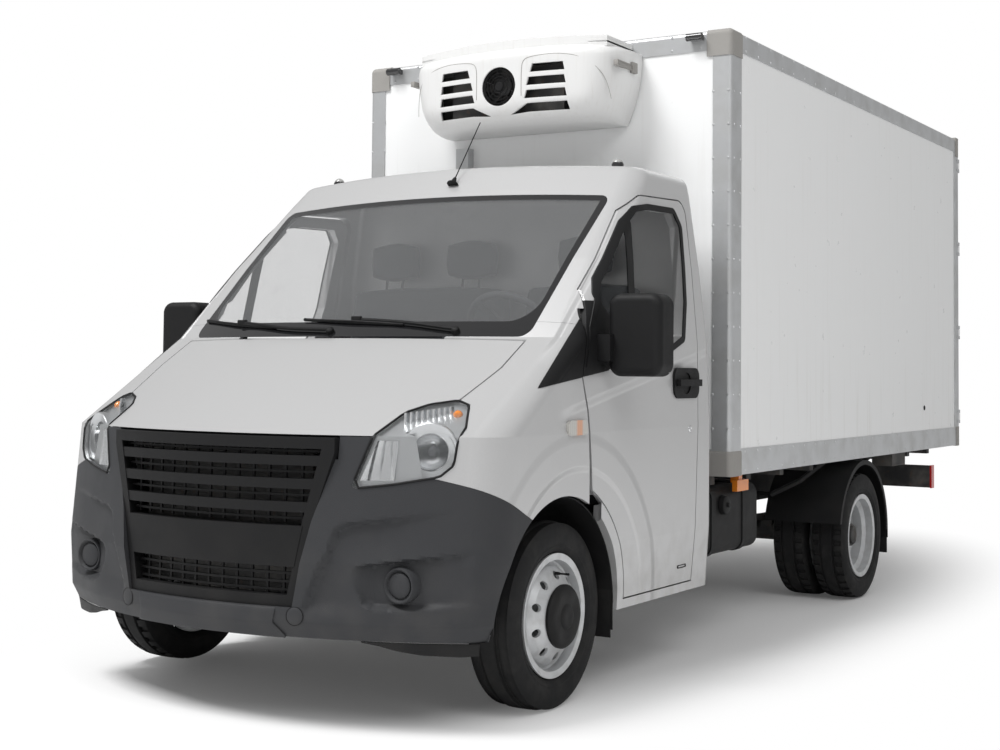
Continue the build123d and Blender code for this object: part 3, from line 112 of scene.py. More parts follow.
class Finish:
    """One material: a Principled surface and the pattern that drives it."""

    def __init__(self, name, colour, roughness, **constants):
        self.name = name
        self.material = bpy.data.materials.new(name)
        self.material.use_nodes = True
        self.tree = self.material.node_tree
        self.surface = self.tree.nodes["Principled BSDF"]
        self.surface.inputs["Base Color"].default_value = (*colour, 1)
        self.surface.inputs["Roughness"].default_value = roughness
        for key, value in constants.items():
            self.surface.inputs[key.replace("_", " ")].default_value = value
        self.colour = colour
        self.place = self.node("ShaderNodeTexCoord", {})["Object"]

    def node(self, kind, settings, *inputs, **named):
        """Adds a node, sets it up, then gives its sockets values or links."""
        node = self.tree.nodes.new(kind)
        for key, value in settings.items():
            setattr(node, key, value)
        for key, value in list(enumerate(inputs)) + list(named.items()):
            if isinstance(value, Socket):
                self.tree.links.new(value.link, node.inputs[key])
            else:
                node.inputs[key].default_value = value
        return Outputs(self, node)

    def axes(self):
        """Object coordinates one by one."""
        parts = self.node("ShaderNodeSeparateXYZ", {}, self.place)
        return parts["X"], parts["Y"], parts["Z"]

    def stretched(self, factors):
        """Object coordinates times a factor for each axis."""
        return self.node("ShaderNodeVectorMath", {"operation": "MULTIPLY"}, self.place, factors)["Vector"]

    def noise(self, scale, detail=3.0, stretch=None):
        """Noise from 0 to 1, stretched along an axis if asked."""
        place = self.stretched(stretch) if stretch else self.place
        return self.node("ShaderNodeTexNoise", {}, Vector=place, Scale=scale, Detail=detail)["Fac"]

    def mix(self, share, first, second):
        """A colour between two, by a share from 0 to 1."""
        node = self.tree.nodes.new("ShaderNodeMix")
        node.data_type = "RGBA"
        for key, value in (("Factor", share), ("A", first), ("B", second)):
            socket = [s for s in node.inputs if s.name == key and s.enabled][0]
            if isinstance(value, Socket):
                self.tree.links.new(value.link, socket)
            else:
                socket.default_value = value if key == "Factor" else (*value, 1)
        return Socket(self, [s for s in node.outputs if s.enabled][0])

    def feed(self, name, value):
        """Links a pattern into the surface."""
        self.tree.links.new(value.link, self.surface.inputs[name])

    def bump(self, height, distance, strength=1.0):
        """Raises the surface by a height from 0 to 1 times a distance in metres."""
        raised = self.node("ShaderNodeBump", {}, Height=height, Distance=distance, Strength=strength)
        self.feed("Normal", raised["Normal"])


# ---- Finishes ----------------------------------------------------------------------------
DUST = (0.20, 0.185, 0.165)
PANEL_DIRT = (0.52, 0.50, 0.46)
SHELL_DIRT = (0.50, 0.47, 0.42)
DULL_ALLOY = (0.44, 0.44, 0.43)
RUST = (0.16, 0.07, 0.03)
TYRE_DUST = (0.10, 0.095, 0.085)
BRAKE_DUST = (0.22, 0.205, 0.19)
PRINTED_BLACK = (0.012, 0.012, 0.013)
GLASS = {"IOR": 1.5, "Specular_IOR_Level": 0.7}

ARCH_BACK = 0.055        # how far the pressed rings' middle lies behind the front axle
CREASE_RISE = 0.19       # the side crease: its slope, and its height over the front axle
CREASE_HEIGHT = 1.066
SCREEN_CORNER = (0.700, 1.482)    # middle of the clear glass's lower corner, and its radius
SCREEN_CORNER_RADIUS = 0.090
SCREEN_HEAD = 1.910      # the clear glass's upper edge at the middle, and its fall outwards
SCREEN_HEAD_BOW = 0.033
MARKER_MIDDLE = 0.040    # behind the front axle, the middle of the wings' side lamps
MARKER_PITCH = 420
LENS_PITCH = 260
WEAVE_PITCH = 900


def body_paint():
    """Silver paint under lacquer, with the pressed lines of the wings and doors."""
    f = Finish("silver_paint", (0.53, 0.53, 0.532), 0.34, Coat_Weight=0.55, Coat_Roughness=0.08,
               Metallic=0.35)
    x, y, z = f.axes()
    flake = f.noise(900, 1)
    tone = f.mix(flake.step(0.35, 0.7), (0.50, 0.50, 0.502), (0.56, 0.56, 0.562))
    dirt = (1 - z.step(0.33, 0.75)) * f.noise(11, 5).step(0.3, 0.8) * 0.35
    f.feed("Base Color", f.mix(dirt, tone, DUST))
    along = y + (SHIFT_Y - ARCH_BACK)
    up = z - AXLE_Z
    ring = (along * along + up * up).root()
    swage = ring.step(0.505, 0.535) - ring.step(0.612, 0.655) * 0.8
    side = abs(x).step(0.9, 0.93)
    rise = (y + SHIFT_Y) * CREASE_RISE + CREASE_HEIGHT
    crease = (z - rise).step(-0.022, 0.022)
    ahead = (y + SHIFT_Y).step(-0.12, 0.05)
    height = swage * side * 0.6 + crease * side * ahead * 0.9
    f.bump(height + f.noise(5, 2) * 0.05, 0.016, 1.0)
    return f


def box_skin():
    """Glossy white sandwich panel, very slightly uneven, with faint runs of dirt."""
    f = Finish("white_panel", (0.82, 0.825, 0.825), 0.30, Coat_Weight=0.25, Coat_Roughness=0.15)
    runs = f.noise(6, 4, (6, 6, 0.25)).step(0.52, 0.8)
    low = 1 - f.axes()[2].step(0.9, 1.5)
    share = (runs * 0.10) + low * runs * 0.22
    f.feed("Base Color", f.mix(share, f.colour, PANEL_DIRT))
    f.feed("Roughness", f.noise(14, 3) * 0.12 + 0.24)
    f.bump(f.noise(2.2, 2), 0.006, 0.35)
    return f


def moulded_white():
    """Satin white moulding of the cooling unit."""
    f = Finish("white_shell", (0.70, 0.70, 0.695), 0.42, Coat_Weight=0.1)
    runs = f.noise(9, 4, (8, 8, 0.4)).step(0.5, 0.8)
    f.feed("Base Color", f.mix(runs * 0.16, f.colour, SHELL_DIRT))
    f.feed("Roughness", f.noise(30, 3) * 0.15 + 0.34)
    f.bump(f.noise(160, 2), 0.0006, 0.4)
    return f


def aluminium():
    """Drawn aluminium extrusion: fine lines along each length and dull patches."""
    f = Finish("alloy", (0.60, 0.61, 0.62), 0.38, Metallic=0.75)
    patches = f.noise(7, 5)
    f.feed("Base Color", f.mix(patches.step(0.35, 0.75) * 0.5, f.colour, DULL_ALLOY))
    f.feed("Roughness", patches * 0.25 + 0.28)
    f.bump(f.noise(60, 2, (12, 1, 1)), 0.0008, 0.5)
    return f


def grained(name, colour, roughness, grain=420, depth=0.0006, dust=0.25, low=0.25, high=0.9):
    """Moulded plastic with a fine leather-like grain, and dust that fades out upwards."""
    f = Finish(name, colour, roughness, Specular_IOR_Level=0.22)
    share = (1 - f.axes()[2].step(low, high)) * f.noise(9, 6).step(0.35, 0.75) * dust
    f.feed("Base Color", f.mix(share, colour, DUST))
    f.feed("Roughness", f.noise(18, 4) * 0.2 + (roughness - 0.1))
    cells = f.node("ShaderNodeTexVoronoi", {}, Vector=f.place, Scale=grain)["Distance"]
    f.bump(cells, depth, 0.6)
    return f


def coated_metal(name, colour, roughness, rust):
    """Painted steel under the truck: dust on it and a little rust."""
    f = Finish(name, colour, roughness)
    patches = f.noise(8, 6)
    tone = f.mix(patches.step(0.4, 0.8) * 0.45, colour, DUST)
    spots = f.noise(35, 6).step(0.58, 0.72) * rust
    f.feed("Base Color", f.mix(spots, tone, RUST))
    f.feed("Roughness", patches * 0.3 + (roughness - 0.1))
    f.bump(f.noise(55, 4), 0.001, 0.5)
    return f


def glazing(name, colour, alpha, dirt):
    """Thin glass that shows what is behind it, with a faint film of dirt."""
    f = Finish(name, colour, 0.03, **GLASS)
    film = f.noise(12, 5).step(0.45, 0.9) * dirt
    f.feed("Alpha", film + alpha)
    f.feed("Roughness", film * 0.5 + 0.02)
    return f


def screen_glass():
    """Windscreen: glass with a painted grey haze that stands for the sky's reflection, and a printed black
    border.
    """
    f = Finish("screen_glass", (0.24, 0.245, 0.25), 0.03, **GLASS)
    x, _, z = f.axes()
    across = (abs(x) - SCREEN_CORNER[0]).most(0)
    down = (SCREEN_CORNER[1] - z).most(0)
    corner = (across * across + down * down).root()
    corner = corner.step(SCREEN_CORNER_RADIUS, SCREEN_CORNER_RADIUS + 0.003)
    head = (z + x * x * SCREEN_HEAD_BOW).step(SCREEN_HEAD, SCREEN_HEAD + 0.002)
    border = corner.most(head)
    f.feed("Base Color", f.mix(border, f.colour, PRINTED_BLACK))
    # opacity: a 0.24 grey share all over, painted reflection of the sky; full where the border is printed;
    # a faint patchy film on top
    f.feed("Alpha", (border * 0.78 + 0.24).least(1) + f.noise(12, 4).step(0.5, 0.9) * 0.03)
    return f


def marker_lens():
    """Clear roof lamps on black feet, dark lamps on the box, amber lamps below it."""
    f = Finish("marker_lens", (0.75, 0.22, 0.02), 0.18, Coat_Weight=0.5)
    _, y, z = f.axes()
    clear = (0.50, 0.49, 0.46)
    core = 1 - abs(y + (SHIFT_Y - MARKER_MIDDLE)).step(0.012, 0.030)
    side = f.mix(core * 0.55, clear, f.colour)
    black = (0.02, 0.02, 0.021)
    roof = f.mix(z.step(2.079, 2.081), black, (0.34, 0.34, 0.33))
    low = f.mix(z.step(0.86, 0.90), f.colour, side)
    upper = f.mix(z.step(2.40, 2.45), roof, black)
    f.feed("Base Color", f.mix(z.step(1.90, 1.95), low, upper))
    f.bump((y * MARKER_PITCH).wave() * 0.5 + 0.5, 0.0006, 0.6)
    return f


def plated(name, colour, roughness):
    """Bright plated metal, slightly uneven."""
    f = Finish(name, colour, roughness, Metallic=1.0)
    f.feed("Roughness", f.noise(25, 3) * 0.1 + roughness)
    f.bump(f.noise(40, 2), 0.0006, 0.3)
    return f


def lens(name, colour):
    """Coloured lens with fine moulded ribs."""
    f = Finish(name, colour, 0.16, Coat_Weight=0.6)
    x, y, _ = f.axes()
    f.bump((x * LENS_PITCH).wave() * 0.5 + (y * LENS_PITCH).wave() * 0.5, 0.0008, 0.7)
    shade = f.noise(30, 2).step(0.2, 0.8)
    f.feed("Base Color", f.mix(shade, tuple(c * 0.8 for c in colour), colour))
    return f


def woven():
    """Seat cloth: a small checked weave."""
    f = Finish("seat_cloth", (0.045, 0.048, 0.055), 0.9, Sheen_Weight=0.3)
    x, y, z = f.axes()
    weave = (x * WEAVE_PITCH).wave() * ((y + z) * WEAVE_PITCH).wave()
    f.feed("Base Color", f.mix(weave.step(-0.6, 0.6), (0.035, 0.037, 0.042), (0.075, 0.08, 0.09)))
    f.bump(weave, 0.0008, 0.6)
    return f


def rubber():
    """Tyre rubber with road dust on its flanks."""
    f = Finish("tyre", (0.010, 0.010, 0.0105), 0.75, Specular_IOR_Level=0.25)
    dust = f.noise(14, 5).step(0.4, 0.8) * 0.12
    f.feed("Base Color", f.mix(dust, f.colour, TYRE_DUST))
    f.feed("Roughness", f.noise(40, 3) * 0.2 + 0.62)
    f.bump(f.noise(300, 3), 0.0006, 0.5)
    return f


def wheel_paint():
    """Silver wheel paint with brake dust in it."""
    f = Finish("wheel_steel", (0.56, 0.57, 0.58), 0.36, Metallic=0.4, Coat_Weight=0.2)
    dust = f.noise(26, 6).step(0.35, 0.8) * 0.3
    f.feed("Base Color", f.mix(dust, f.colour, BRAKE_DUST))
    f.feed("Roughness", f.noise(30, 3) * 0.2 + 0.28)
    f.bump(f.noise(90, 3), 0.0005, 0.4)
    return f


FINISHES = {finish.name: finish.material for finish in (
    body_paint(), box_skin(), moulded_white(), aluminium(), screen_glass(), marker_lens(),
    grained("grey_casting", (0.30, 0.29, 0.275), 0.6, 300, 0.001, 0.2, 0.7, 2.8),
    grained("black_plastic", (0.008, 0.008, 0.0085), 0.55, dust=0.04),
    grained("grey_plastic", (0.037, 0.038, 0.041), 0.55, 380, 0.0007, 0.08),
    grained("dark_trim", (0.055, 0.057, 0.062), 0.6, 300, 0.0008, 0.0),
    glazing("tinted_glass", (0.05, 0.055, 0.055), 0.09, 0.02),
    glazing("clear_lens", (0.55, 0.57, 0.58), 0.06, 0.03),
    plated("lamp_chrome", (0.80, 0.81, 0.82), 0.16),
    # a duller copy of the lamp chrome: painted shade on the headlamps' housings and bezels
    plated("lamp_grey", (0.52, 0.53, 0.54), 0.30),
    lens("amber_lens", (0.80, 0.25, 0.03)),
    lens("red_lens", (0.55, 0.02, 0.02)),
    coated_metal("dark_metal", (0.020, 0.020, 0.021), 0.6, 0.2),
    coated_metal("cast_metal", (0.045, 0.045, 0.045), 0.6, 0.2),
    coated_metal("exhaust_steel", (0.22, 0.20, 0.18), 0.5, 0.6),
    woven(), wheel_paint(), rubber())}


def dress(piece, slot, look=None):
    """Gives a piece one finish all over, its look's or else its slot's."""
    piece.data.materials.clear()
    piece.data.materials.append(FINISHES[look or slot])


# parts whose look varies within their slot
LOOKS = {"windscreen": "screen_glass", "marker_lamps": "marker_lens", "unit_duct": "alloy",
         # the headlamps' housings take the duller chrome, painted shade
         "headlamp_bodies": "lamp_grey"}

for part in frame["record"]["subparts"]:
    solid = frame["nodes"][part["node"]]
    solid.data.materials.clear()
    look = LOOKS.get(part["node"], part["material_slot"])
    solid.data.materials.append(FINISHES[look])


# ---- Modelling helpers -------------------------------------------------------------------
def on_ground(x, y, z):
    """A place measured from the front axle's centre line, in millimetres, in the scene's metres."""
    return Vector((x / 1000, y / 1000 - SHIFT_Y, z / 1000))


def none():
    """Deselects everything."""
    bpy.ops.object.select_all(action="DESELECT")


def alone(piece):
    """Selects one piece and nothing else."""
    none()
    piece.select_set(True)
    bpy.context.view_layer.objects.active = piece


def enter(piece):
    """Into edit mode, with the whole of a piece selected."""
    alone(piece)
    bpy.ops.object.mode_set(mode="EDIT")
    bpy.ops.mesh.select_all(action="SELECT")


def leave():
    """Back to object mode."""
    bpy.ops.object.mode_set(mode="OBJECT")


def linked(name, data):
    """A new object for a mesh, curve, light or camera."""
    piece = bpy.data.objects.new(name, data)
    bpy.context.collection.objects.link(piece)
    return piece


def named(name):
    """The piece that was just made, given its name, its place and size put into its mesh."""
    piece = bpy.context.object
    piece.name = name
    settle(piece)
    return piece


def settle(piece):
    """Puts a piece's place, turn and size into its mesh."""
    alone(piece)
    bpy.ops.object.transform_apply(location=True, rotation=True, scale=True)


def changed(piece, kind, **settings):
    """Applies one modifier to a piece."""
    alone(piece)
    modifier = piece.modifiers.new("change", kind)
    for key, value in settings.items():
        setattr(modifier, key, value)
    bpy.ops.object.modifier_apply(modifier=modifier.name)


def finish_piece(piece, slot, body="truck", smooth=35, look=None):
    """Shades a finished piece, dresses it and fixes it to its body."""
    alone(piece)
    bpy.ops.object.shade_smooth_by_angle(angle=radians(smooth))
    dress(piece, slot, look)
    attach(piece, body)
    return piece


def slab(name, low, high):
    """A block between two corners, ready to be shaped."""
    none()
    middle = [(a + b) / 2 for a, b in zip(low, high)]
    bpy.ops.mesh.primitive_cube_add(size=1, location=middle)
    bpy.context.object.scale = [b - a for a, b in zip(low, high)]
    return named(name)


def disc(name, radius, centre, length, sides):
    """A round bar across the truck, ready to be shaped."""
    none()
    bpy.ops.mesh.primitive_cylinder_add(vertices=sides, radius=radius, depth=length,
                                        location=centre, rotation=(0, pi / 2, 0))
    return named(name)


def ring(name, radius, thickness, centre=(0, 0, 0)):
    """A round ring that faces forwards."""
    none()
    bpy.ops.mesh.primitive_torus_add(major_radius=radius, minor_radius=thickness,
                                     major_segments=40, minor_segments=6, location=centre,
                                     rotation=(pi / 2, 0, 0))
    return named(name)


def upright_grid(name, columns, rows, width=1.0, height=1.0, level=0.0):
    """A flat grid that stands across the truck, centred at one height."""
    none()
    bpy.ops.mesh.primitive_grid_add(x_subdivisions=columns, y_subdivisions=rows, size=1,
                                    rotation=(pi / 2, 0, 0))
    bpy.context.object.scale = (width, height, 1)
    bpy.context.object.location = (0, 0, level)
    return named(name)


def choose(piece, test):
    """In edit mode, selects the faces whose middle and normal pass a test."""
    alone(piece)
    mesh = piece.data
    for items in (mesh.vertices, mesh.edges, mesh.polygons):
        items.foreach_set("select", [False] * len(items))
    for face in mesh.polygons:
        face.select = bool(test(face.center, face.normal))
    bpy.ops.object.mode_set(mode="EDIT")
    bpy.ops.mesh.select_mode(type="FACE")


def push(offset):
    """Extrudes what is selected along an offset."""
    bpy.ops.mesh.extrude_region_move(TRANSFORM_OT_translate={"value": offset})


def stepped(piece, outward, *steps):
    """Insets the faces that look one way and raises them, once for each (rim, rise)."""
    outward = Vector(outward)
    choose(piece, lambda middle, normal: normal.dot(outward) > 0.9)
    for rim, rise in steps:
        bpy.ops.mesh.inset(thickness=rim)
        if rise:
            push(tuple(outward * rise))
    leave()


def round_off(piece, width, segments=2, limit=30):
    """Bevels a piece's sharp edges."""
    changed(piece, "BEVEL", width=width, segments=segments, limit_method="ANGLE",
            angle_limit=radians(limit))


def joined(name, pieces):
    """Several pieces as one."""
    none()
    for piece in pieces:
        piece.select_set(True)
    bpy.context.view_layer.objects.active = pieces[0]
    bpy.ops.object.join()
    pieces[0].name = name
    return pieces[0]


def copied(piece):
    """A copy with its own mesh."""
    twin = piece.copy()
    twin.data = piece.data.copy()
    bpy.context.collection.objects.link(twin)
    return twin


def turned_about(piece, turn, about):
    """Turns a piece about a point."""
    piece.data.transform(Matrix.Translation(about) @ turn @ Matrix.Translation(-about))
    return piece


def flipped(piece):
    """Turns a piece into its mirror image on the other side of the truck."""
    piece.data.transform(Matrix.Scale(-1, 4, (1, 0, 0)))
    piece.data.flip_normals()
    return piece


def on_side(piece, sign):
    """A piece made for the left, flipped if it is for the right."""
    return flipped(piece) if sign < 0 else piece


def mirrored(piece, name):
    """The piece's mirror image on the other side of the truck."""
    twin = flipped(copied(piece))
    twin.name = name
    return twin


def paired(piece, name, body="truck"):
    """A finished piece's mirror image, fixed to its own body."""
    twin = mirrored(piece, name)
    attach(twin, body)


def tube(name, points, radius, sides=8, smooth=True):
    """A round bar along a smooth line through a few points."""
    curve = bpy.data.curves.new(name, "CURVE")
    curve.dimensions = "3D"
    curve.bevel_depth = radius
    curve.bevel_resolution = max(1, sides // 4)
    curve.use_fill_caps = True
    line = curve.splines.new("NURBS" if smooth else "POLY")
    line.points.add(len(points) - 1)
    for point, at in zip(line.points, points):
        point.co = (*at, 1)
    if smooth:
        line.order_u = 3
        line.use_endpoint_u = True
        line.resolution_u = 6
    alone(linked(name, curve))
    bpy.ops.object.convert(target="MESH")
    return bpy.context.object


def turned(name, profile, centre=(0, 0, 0), axis="X", outward=1, steps=48):
    """A line of (along, radius) points spun about an axis through a centre."""
    mesh = bpy.data.meshes.new(name)
    spots = [(outward * u, 0, r) for u, r in profile]
    mesh.from_pydata(spots, [(i, i + 1) for i in range(len(spots) - 1)], [])
    piece = linked(name, mesh)
    enter(piece)
    bpy.ops.mesh.spin(steps=steps, angle=2 * pi, center=(0, 0, 0), axis=(1, 0, 0))
    bpy.ops.mesh.select_all(action="SELECT")
    bpy.ops.mesh.remove_doubles(threshold=MERGED)
    bpy.ops.mesh.normals_make_consistent(inside=False)
    leave()
    if axis == "Y":
        mesh.transform(Matrix.Rotation(pi / 2, 4, "Z"))
    if axis == "Z":
        mesh.transform(Matrix.Rotation(-pi / 2, 4, "Y"))
    mesh.transform(Matrix.Translation(centre))
    return piece


def facing(piece, centre, turn):
    """Turns a piece made about the origin facing -Y, and puts it at its place."""
    piece.data.transform(Matrix.Rotation(radians(turn), 4, "Z"))
    piece.data.transform(Matrix.Translation(centre))
    return piece


# ---- Stage -------------------------------------------------------------------------------
# the floor's shadowed part: how fast it ends along each axis, and where it starts and ends
SHADOW_SHAPE = (2.6, 0.9, 1)
SHADOW_EDGE = (2.6, 4.6)
SHADOW_WHITE = 0.05      # share of white inside it
SKY_LIGHT = 0.44


def add_floor():
    """A pale floor that takes the truck's shadow and turns white to the camera further out."""
    none()
    bpy.ops.mesh.primitive_plane_add(size=120, location=(0, 0, 0))
    floor = bpy.context.object
    floor.name = "floor"
    f = Finish("pale_floor", (0.88, 0.88, 0.88), 0.9)
    away = f.node("ShaderNodeVectorMath", {"operation": "LENGTH"}, f.stretched(SHADOW_SHAPE))["Value"]
    camera_ray = f.node("ShaderNodeLightPath", {})["Is Camera Ray"]
    share = away.step(*SHADOW_EDGE, SHADOW_WHITE) * camera_ray
    pale = Socket(f, f.surface.outputs["BSDF"])
    white = f.node("ShaderNodeEmission", {})["Emission"]
    mixed = f.node("ShaderNodeMixShader", {}, share, pale, white)["Shader"]
    f.tree.links.new(mixed.link, f.tree.nodes["Material Output"].inputs["Surface"])
    floor.data.materials.append(f.material)


def add_sky():
    """An even white sky, dimmer as a light than it looks."""
    world = bpy.data.worlds.new("sky")
    bpy.context.scene.world = world
    world.use_nodes = True
    tree = world.node_tree
    back = tree.nodes["Background"]
    back.inputs["Color"].default_value = (1.0, 1.0, 1.0, 1)
    path = tree.nodes.new("ShaderNodeLightPath")
    seen = tree.nodes.new("ShaderNodeMath")
    seen.operation = "MAXIMUM"
    level = tree.nodes.new("ShaderNodeMapRange")
    level.inputs["To Min"].default_value = SKY_LIGHT
    level.inputs["To Max"].default_value = 1.0
    tree.links.new(path.outputs["Is Camera Ray"], seen.inputs[0])
    tree.links.new(path.outputs["Is Transmission Ray"], seen.inputs[1])
    tree.links.new(seen.outputs["Value"], level.inputs["Value"])
    tree.links.new(level.outputs["Result"], back.inputs["Strength"])


def add_lamp(name, place, size, energy, target):
    """A large soft lamp that faces a point."""
    light = bpy.data.lights.new(name, "AREA")
    light.size = size
    light.energy = energy
    lamp = linked(name, light)
    lamp.location = place
    aim = Vector(target) - Vector(place)
    lamp.rotation_euler = aim.to_track_quat("-Z", "Y").to_euler()


add_floor()
add_sky()
add_lamp("key_lamp", (9, -8, 11), 7, 540, (0, 0, 1.2))
add_lamp("front_lamp", (-4, -9, 15), 6, 2450, (0, -1, 1.2))


# ---- Camera ------------------------------------------------------------------------------
CAMERA_PLACE = (3639.5, -4779.7, 1212.0)
CAMERA_TURNS = (31.651, 2.569, 0.563)     # yaw, pitch and roll, in degrees
RENDER_WIDTH = 1000
RENDER_HEIGHT = 750
LENS_AXIS = (500.2, 300.9)                # where the lens's axis meets the render
FOCAL_LENGTH = 1523.3                     # in the render's pixels
SENSOR_WIDTH = 36


def add_camera():
    """The camera's place, aim and lens, worked out from the wheels and the box's corners."""
    yaw, pitch, roll = (radians(turn) for turn in CAMERA_TURNS)
    ahead = Vector((-sin(yaw) * cos(pitch), cos(yaw) * cos(pitch), sin(pitch)))
    right = Vector((cos(yaw), sin(yaw), 0))
    up = right.cross(ahead)
    level_right = cos(roll) * right + sin(roll) * up
    level_up = -sin(roll) * right + cos(roll) * up
    data = bpy.data.cameras.new("camera")
    data.sensor_width = SENSOR_WIDTH
    data.lens = FOCAL_LENGTH * SENSOR_WIDTH / RENDER_WIDTH
    data.shift_x = (RENDER_WIDTH / 2 - LENS_AXIS[0]) / RENDER_WIDTH
    data.shift_y = (LENS_AXIS[1] - RENDER_HEIGHT / 2) / RENDER_WIDTH
    data.clip_end = 300
    camera = linked("camera", data)
    turn = Matrix((level_right, level_up, -ahead)).transposed()
    camera.matrix_world = Matrix.Translation(on_ground(*CAMERA_PLACE)) @ turn.to_4x4()
    bpy.context.scene.camera = camera
    bpy.context.scene.view_settings.view_transform = "Standard"


add_camera()


# ---- Nose: bumper, centre strip, lip -----------------------------------------------------
NOSE_RADIUS = 1670
CORNER_RADIUS = 200
CORNER_FROM = 908.8      # half width at which the nose's arc turns into its corner
HALF_WIDTH = 1000
CORNER_MIDDLE = HALF_WIDTH - CORNER_RADIUS
CORNER_DEPTH = 436.8     # the corner's middle, behind the nose's middle line
# height and depth of the nose's middle line, in millimetres from the front axle
NOSE_LEVELS = [(310, -822), (560, -836), (985, -790)]
# edge of the raised band beside the grille: half width at a height, then height at a half width
BAND_UPRIGHT = [(414, 403), (524, 451), (575, 480), (604, 492), (675, 507)]
BAND_LEVEL = [(507, 675), (556, 702), (678, 719), (806, 736), (900, 746)]
FOG_HEAD = [(570, 530), (595, 559), (708, 576), (815, 593), (940, 612)]
FOG_FOOT = [(570, 505), (579, 480), (613, 424), (640, 411), (738, 410), (814, 419), (945, 431)]
CREASE_Z = 364           # below this line the bumper turns under
UNDER_SLOPE = 0.45
BAND_DEPTH = 20
RECESS_DEPTH = 36
STRIP_WIDTHS = [(314, 335), (358, 303), (410, 314)]
LIP_FOOT = [(598, 302), (660, 291), (709, 278), (787, 266), (901, 262), (954, 265)]
LIP_HEAD = 306
FOG = (716, 497)         # middle of the fog lamp blank in the front view
EYE = (383, 384, 13.3)   # middle of the tow eye's cover, and the turn of the face there


def between(points, at):
    """The value at one place on a line through (place, value) points, level past its ends."""
    if at <= points[0][0]:
        return points[0][1]
    for (a, low), (b, high) in zip(points, points[1:]):
        if at <= b:
            return low + (high - low) * (at - a) / (b - a)
    return points[-1][1]


def eased(value, low, high):
    """0 below one value and 1 above the other, with a soft change between."""
    share = min(1, max(0, (value - low) / (high - low)))
    return share * share * (3 - 2 * share)


def nose_y(x, z):
    """The nose's depth at a place on its face, in millimetres from the front axle."""
    side = abs(x)
    arc = NOSE_RADIUS - sqrt(NOSE_RADIUS**2 - min(side, CORNER_FROM)**2)
    if side > CORNER_FROM:
        arc = CORNER_DEPTH - sqrt(max(CORNER_RADIUS**2 - (side - CORNER_MIDDLE)**2, 0))
    return between(NOSE_LEVELS, z) + arc


def nose_outward(x, y, z):
    """The direction straight out of the nose's face, seen from above."""
    if abs(x) <= CORNER_FROM:
        return Vector((x / NOSE_RADIUS, -sqrt(1 - (x / NOSE_RADIUS)**2), 0))
    side = 1 if x > 0 else -1
    ahead = min(0, y - (between(NOSE_LEVELS, z) + CORNER_DEPTH))
    return Vector((side * (abs(x) - CORNER_MIDDLE), ahead, 0)).normalized()


def nose_depth(x, y, z):
    """How far a point lies behind the nose's face, in millimetres."""
    if abs(x) <= CORNER_FROM:
        return (y - nose_y(x, z)) * sqrt(1 - (x / NOSE_RADIUS)**2)
    ahead = min(0, y - between(NOSE_LEVELS, z) - CORNER_DEPTH)
    if ahead == 0:
        return HALF_WIDTH - abs(x)
    return CORNER_RADIUS - sqrt((abs(x) - CORNER_MIDDLE)**2 + ahead**2)


def carved(x, z):
    """How far the bumper is set in at a place on its left half, in millimetres."""
    inside = min(x - between(BAND_UPRIGHT, z), between(BAND_LEVEL, x) - z)
    band = eased(inside, 0, 16) * (1 - eased(inside, 70, 280)) * (1 - eased(x, 620, 900))
    band *= eased(z, 370, 450)
    recess = eased(x, 566, 640) * (1 - 0.8 * eased(x, 690, 935)) * (1 - eased(x, 905, 945))
    recess *= eased(between(FOG_HEAD, x) - z, 0, 9) * eased(z - between(FOG_FOOT, x), 0, 24)
    return BAND_DEPTH * band + RECESS_DEPTH * recess + UNDER_SLOPE * max(0, CREASE_Z - z)


def sliced(piece, axis, places):
    """Cuts a piece's faces along a row of planes, so that they can be shaped."""
    enter(piece)
    along = Vector([float(i == axis) for i in range(3)])
    for place in places:
        bpy.ops.mesh.select_all(action="SELECT")
        bpy.ops.mesh.bisect(plane_co=along * place, plane_no=along)
    leave()


def merged_copy(node, name):
    """A copy of a solid's mesh with its points merged, ready to be shaped."""
    piece = linked(name, frame["nodes"][node].data.copy())
    enter(piece)
    bpy.ops.mesh.remove_doubles(threshold=MERGED)
    leave()
    if piece.data.has_custom_normals:
        bpy.ops.mesh.customdata_custom_splitnormals_clear()
    return piece


def nose_panel(name, columns, rows, place, wall):
    """A panel that follows the nose: a grid whose points are placed one by one, given a wall."""
    panel = upright_grid(name, columns, rows)
    for vertex in panel.data.vertices:
        vertex.co = on_ground(*place(vertex.co.x + 0.5, vertex.co.z + 0.5))
    changed(panel, "SOLIDIFY", thickness=wall, offset=-1)
    return panel


def add_bumper():
    """The bumper, carved with its raised band, fog recess and turned-under foot."""
    bumper = merged_copy("front_bumper", "bumper_moulding")
    rows = [z / 1000 for z in range(316, 770, 9)]
    columns = [x / 1000 for x in list(range(408, 560, 14)) + list(range(560, 960, 9))]
    sliced(bumper, 2, rows)
    sliced(bumper, 0, columns + [-x for x in columns])
    outer = set()
    for face in bumper.data.polygons:
        x, y, z = face.center * 1000
        if face.normal.dot(nose_outward(x, y + SHIFT_Y * 1000, z)) > 0.5:
            outer.update(face.vertices)
    for vertex in bumper.data.vertices:
        x, y, z = vertex.co * 1000
        y += SHIFT_Y * 1000
        inward = nose_outward(x, y, z) * -1
        wanted = carved(abs(x), z)
        if vertex.index in outer:
            if abs(x) < CORNER_FROM - 4:
                vertex.co.y = on_ground(x, nose_y(x, z), z).y
            vertex.co += inward * wanted / 1000
        else:
            vertex.co += inward * max(0, wanted - max(0, nose_depth(x, y, z))) / 1000
    finish_piece(bumper, "grey_plastic", smooth=40)
    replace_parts(bumper, "front_bumper")


def lamp_edge(z):
    """Half width of the headlamp's inner edge at a height."""
    return 555 + (z - 810) * 57 / 173


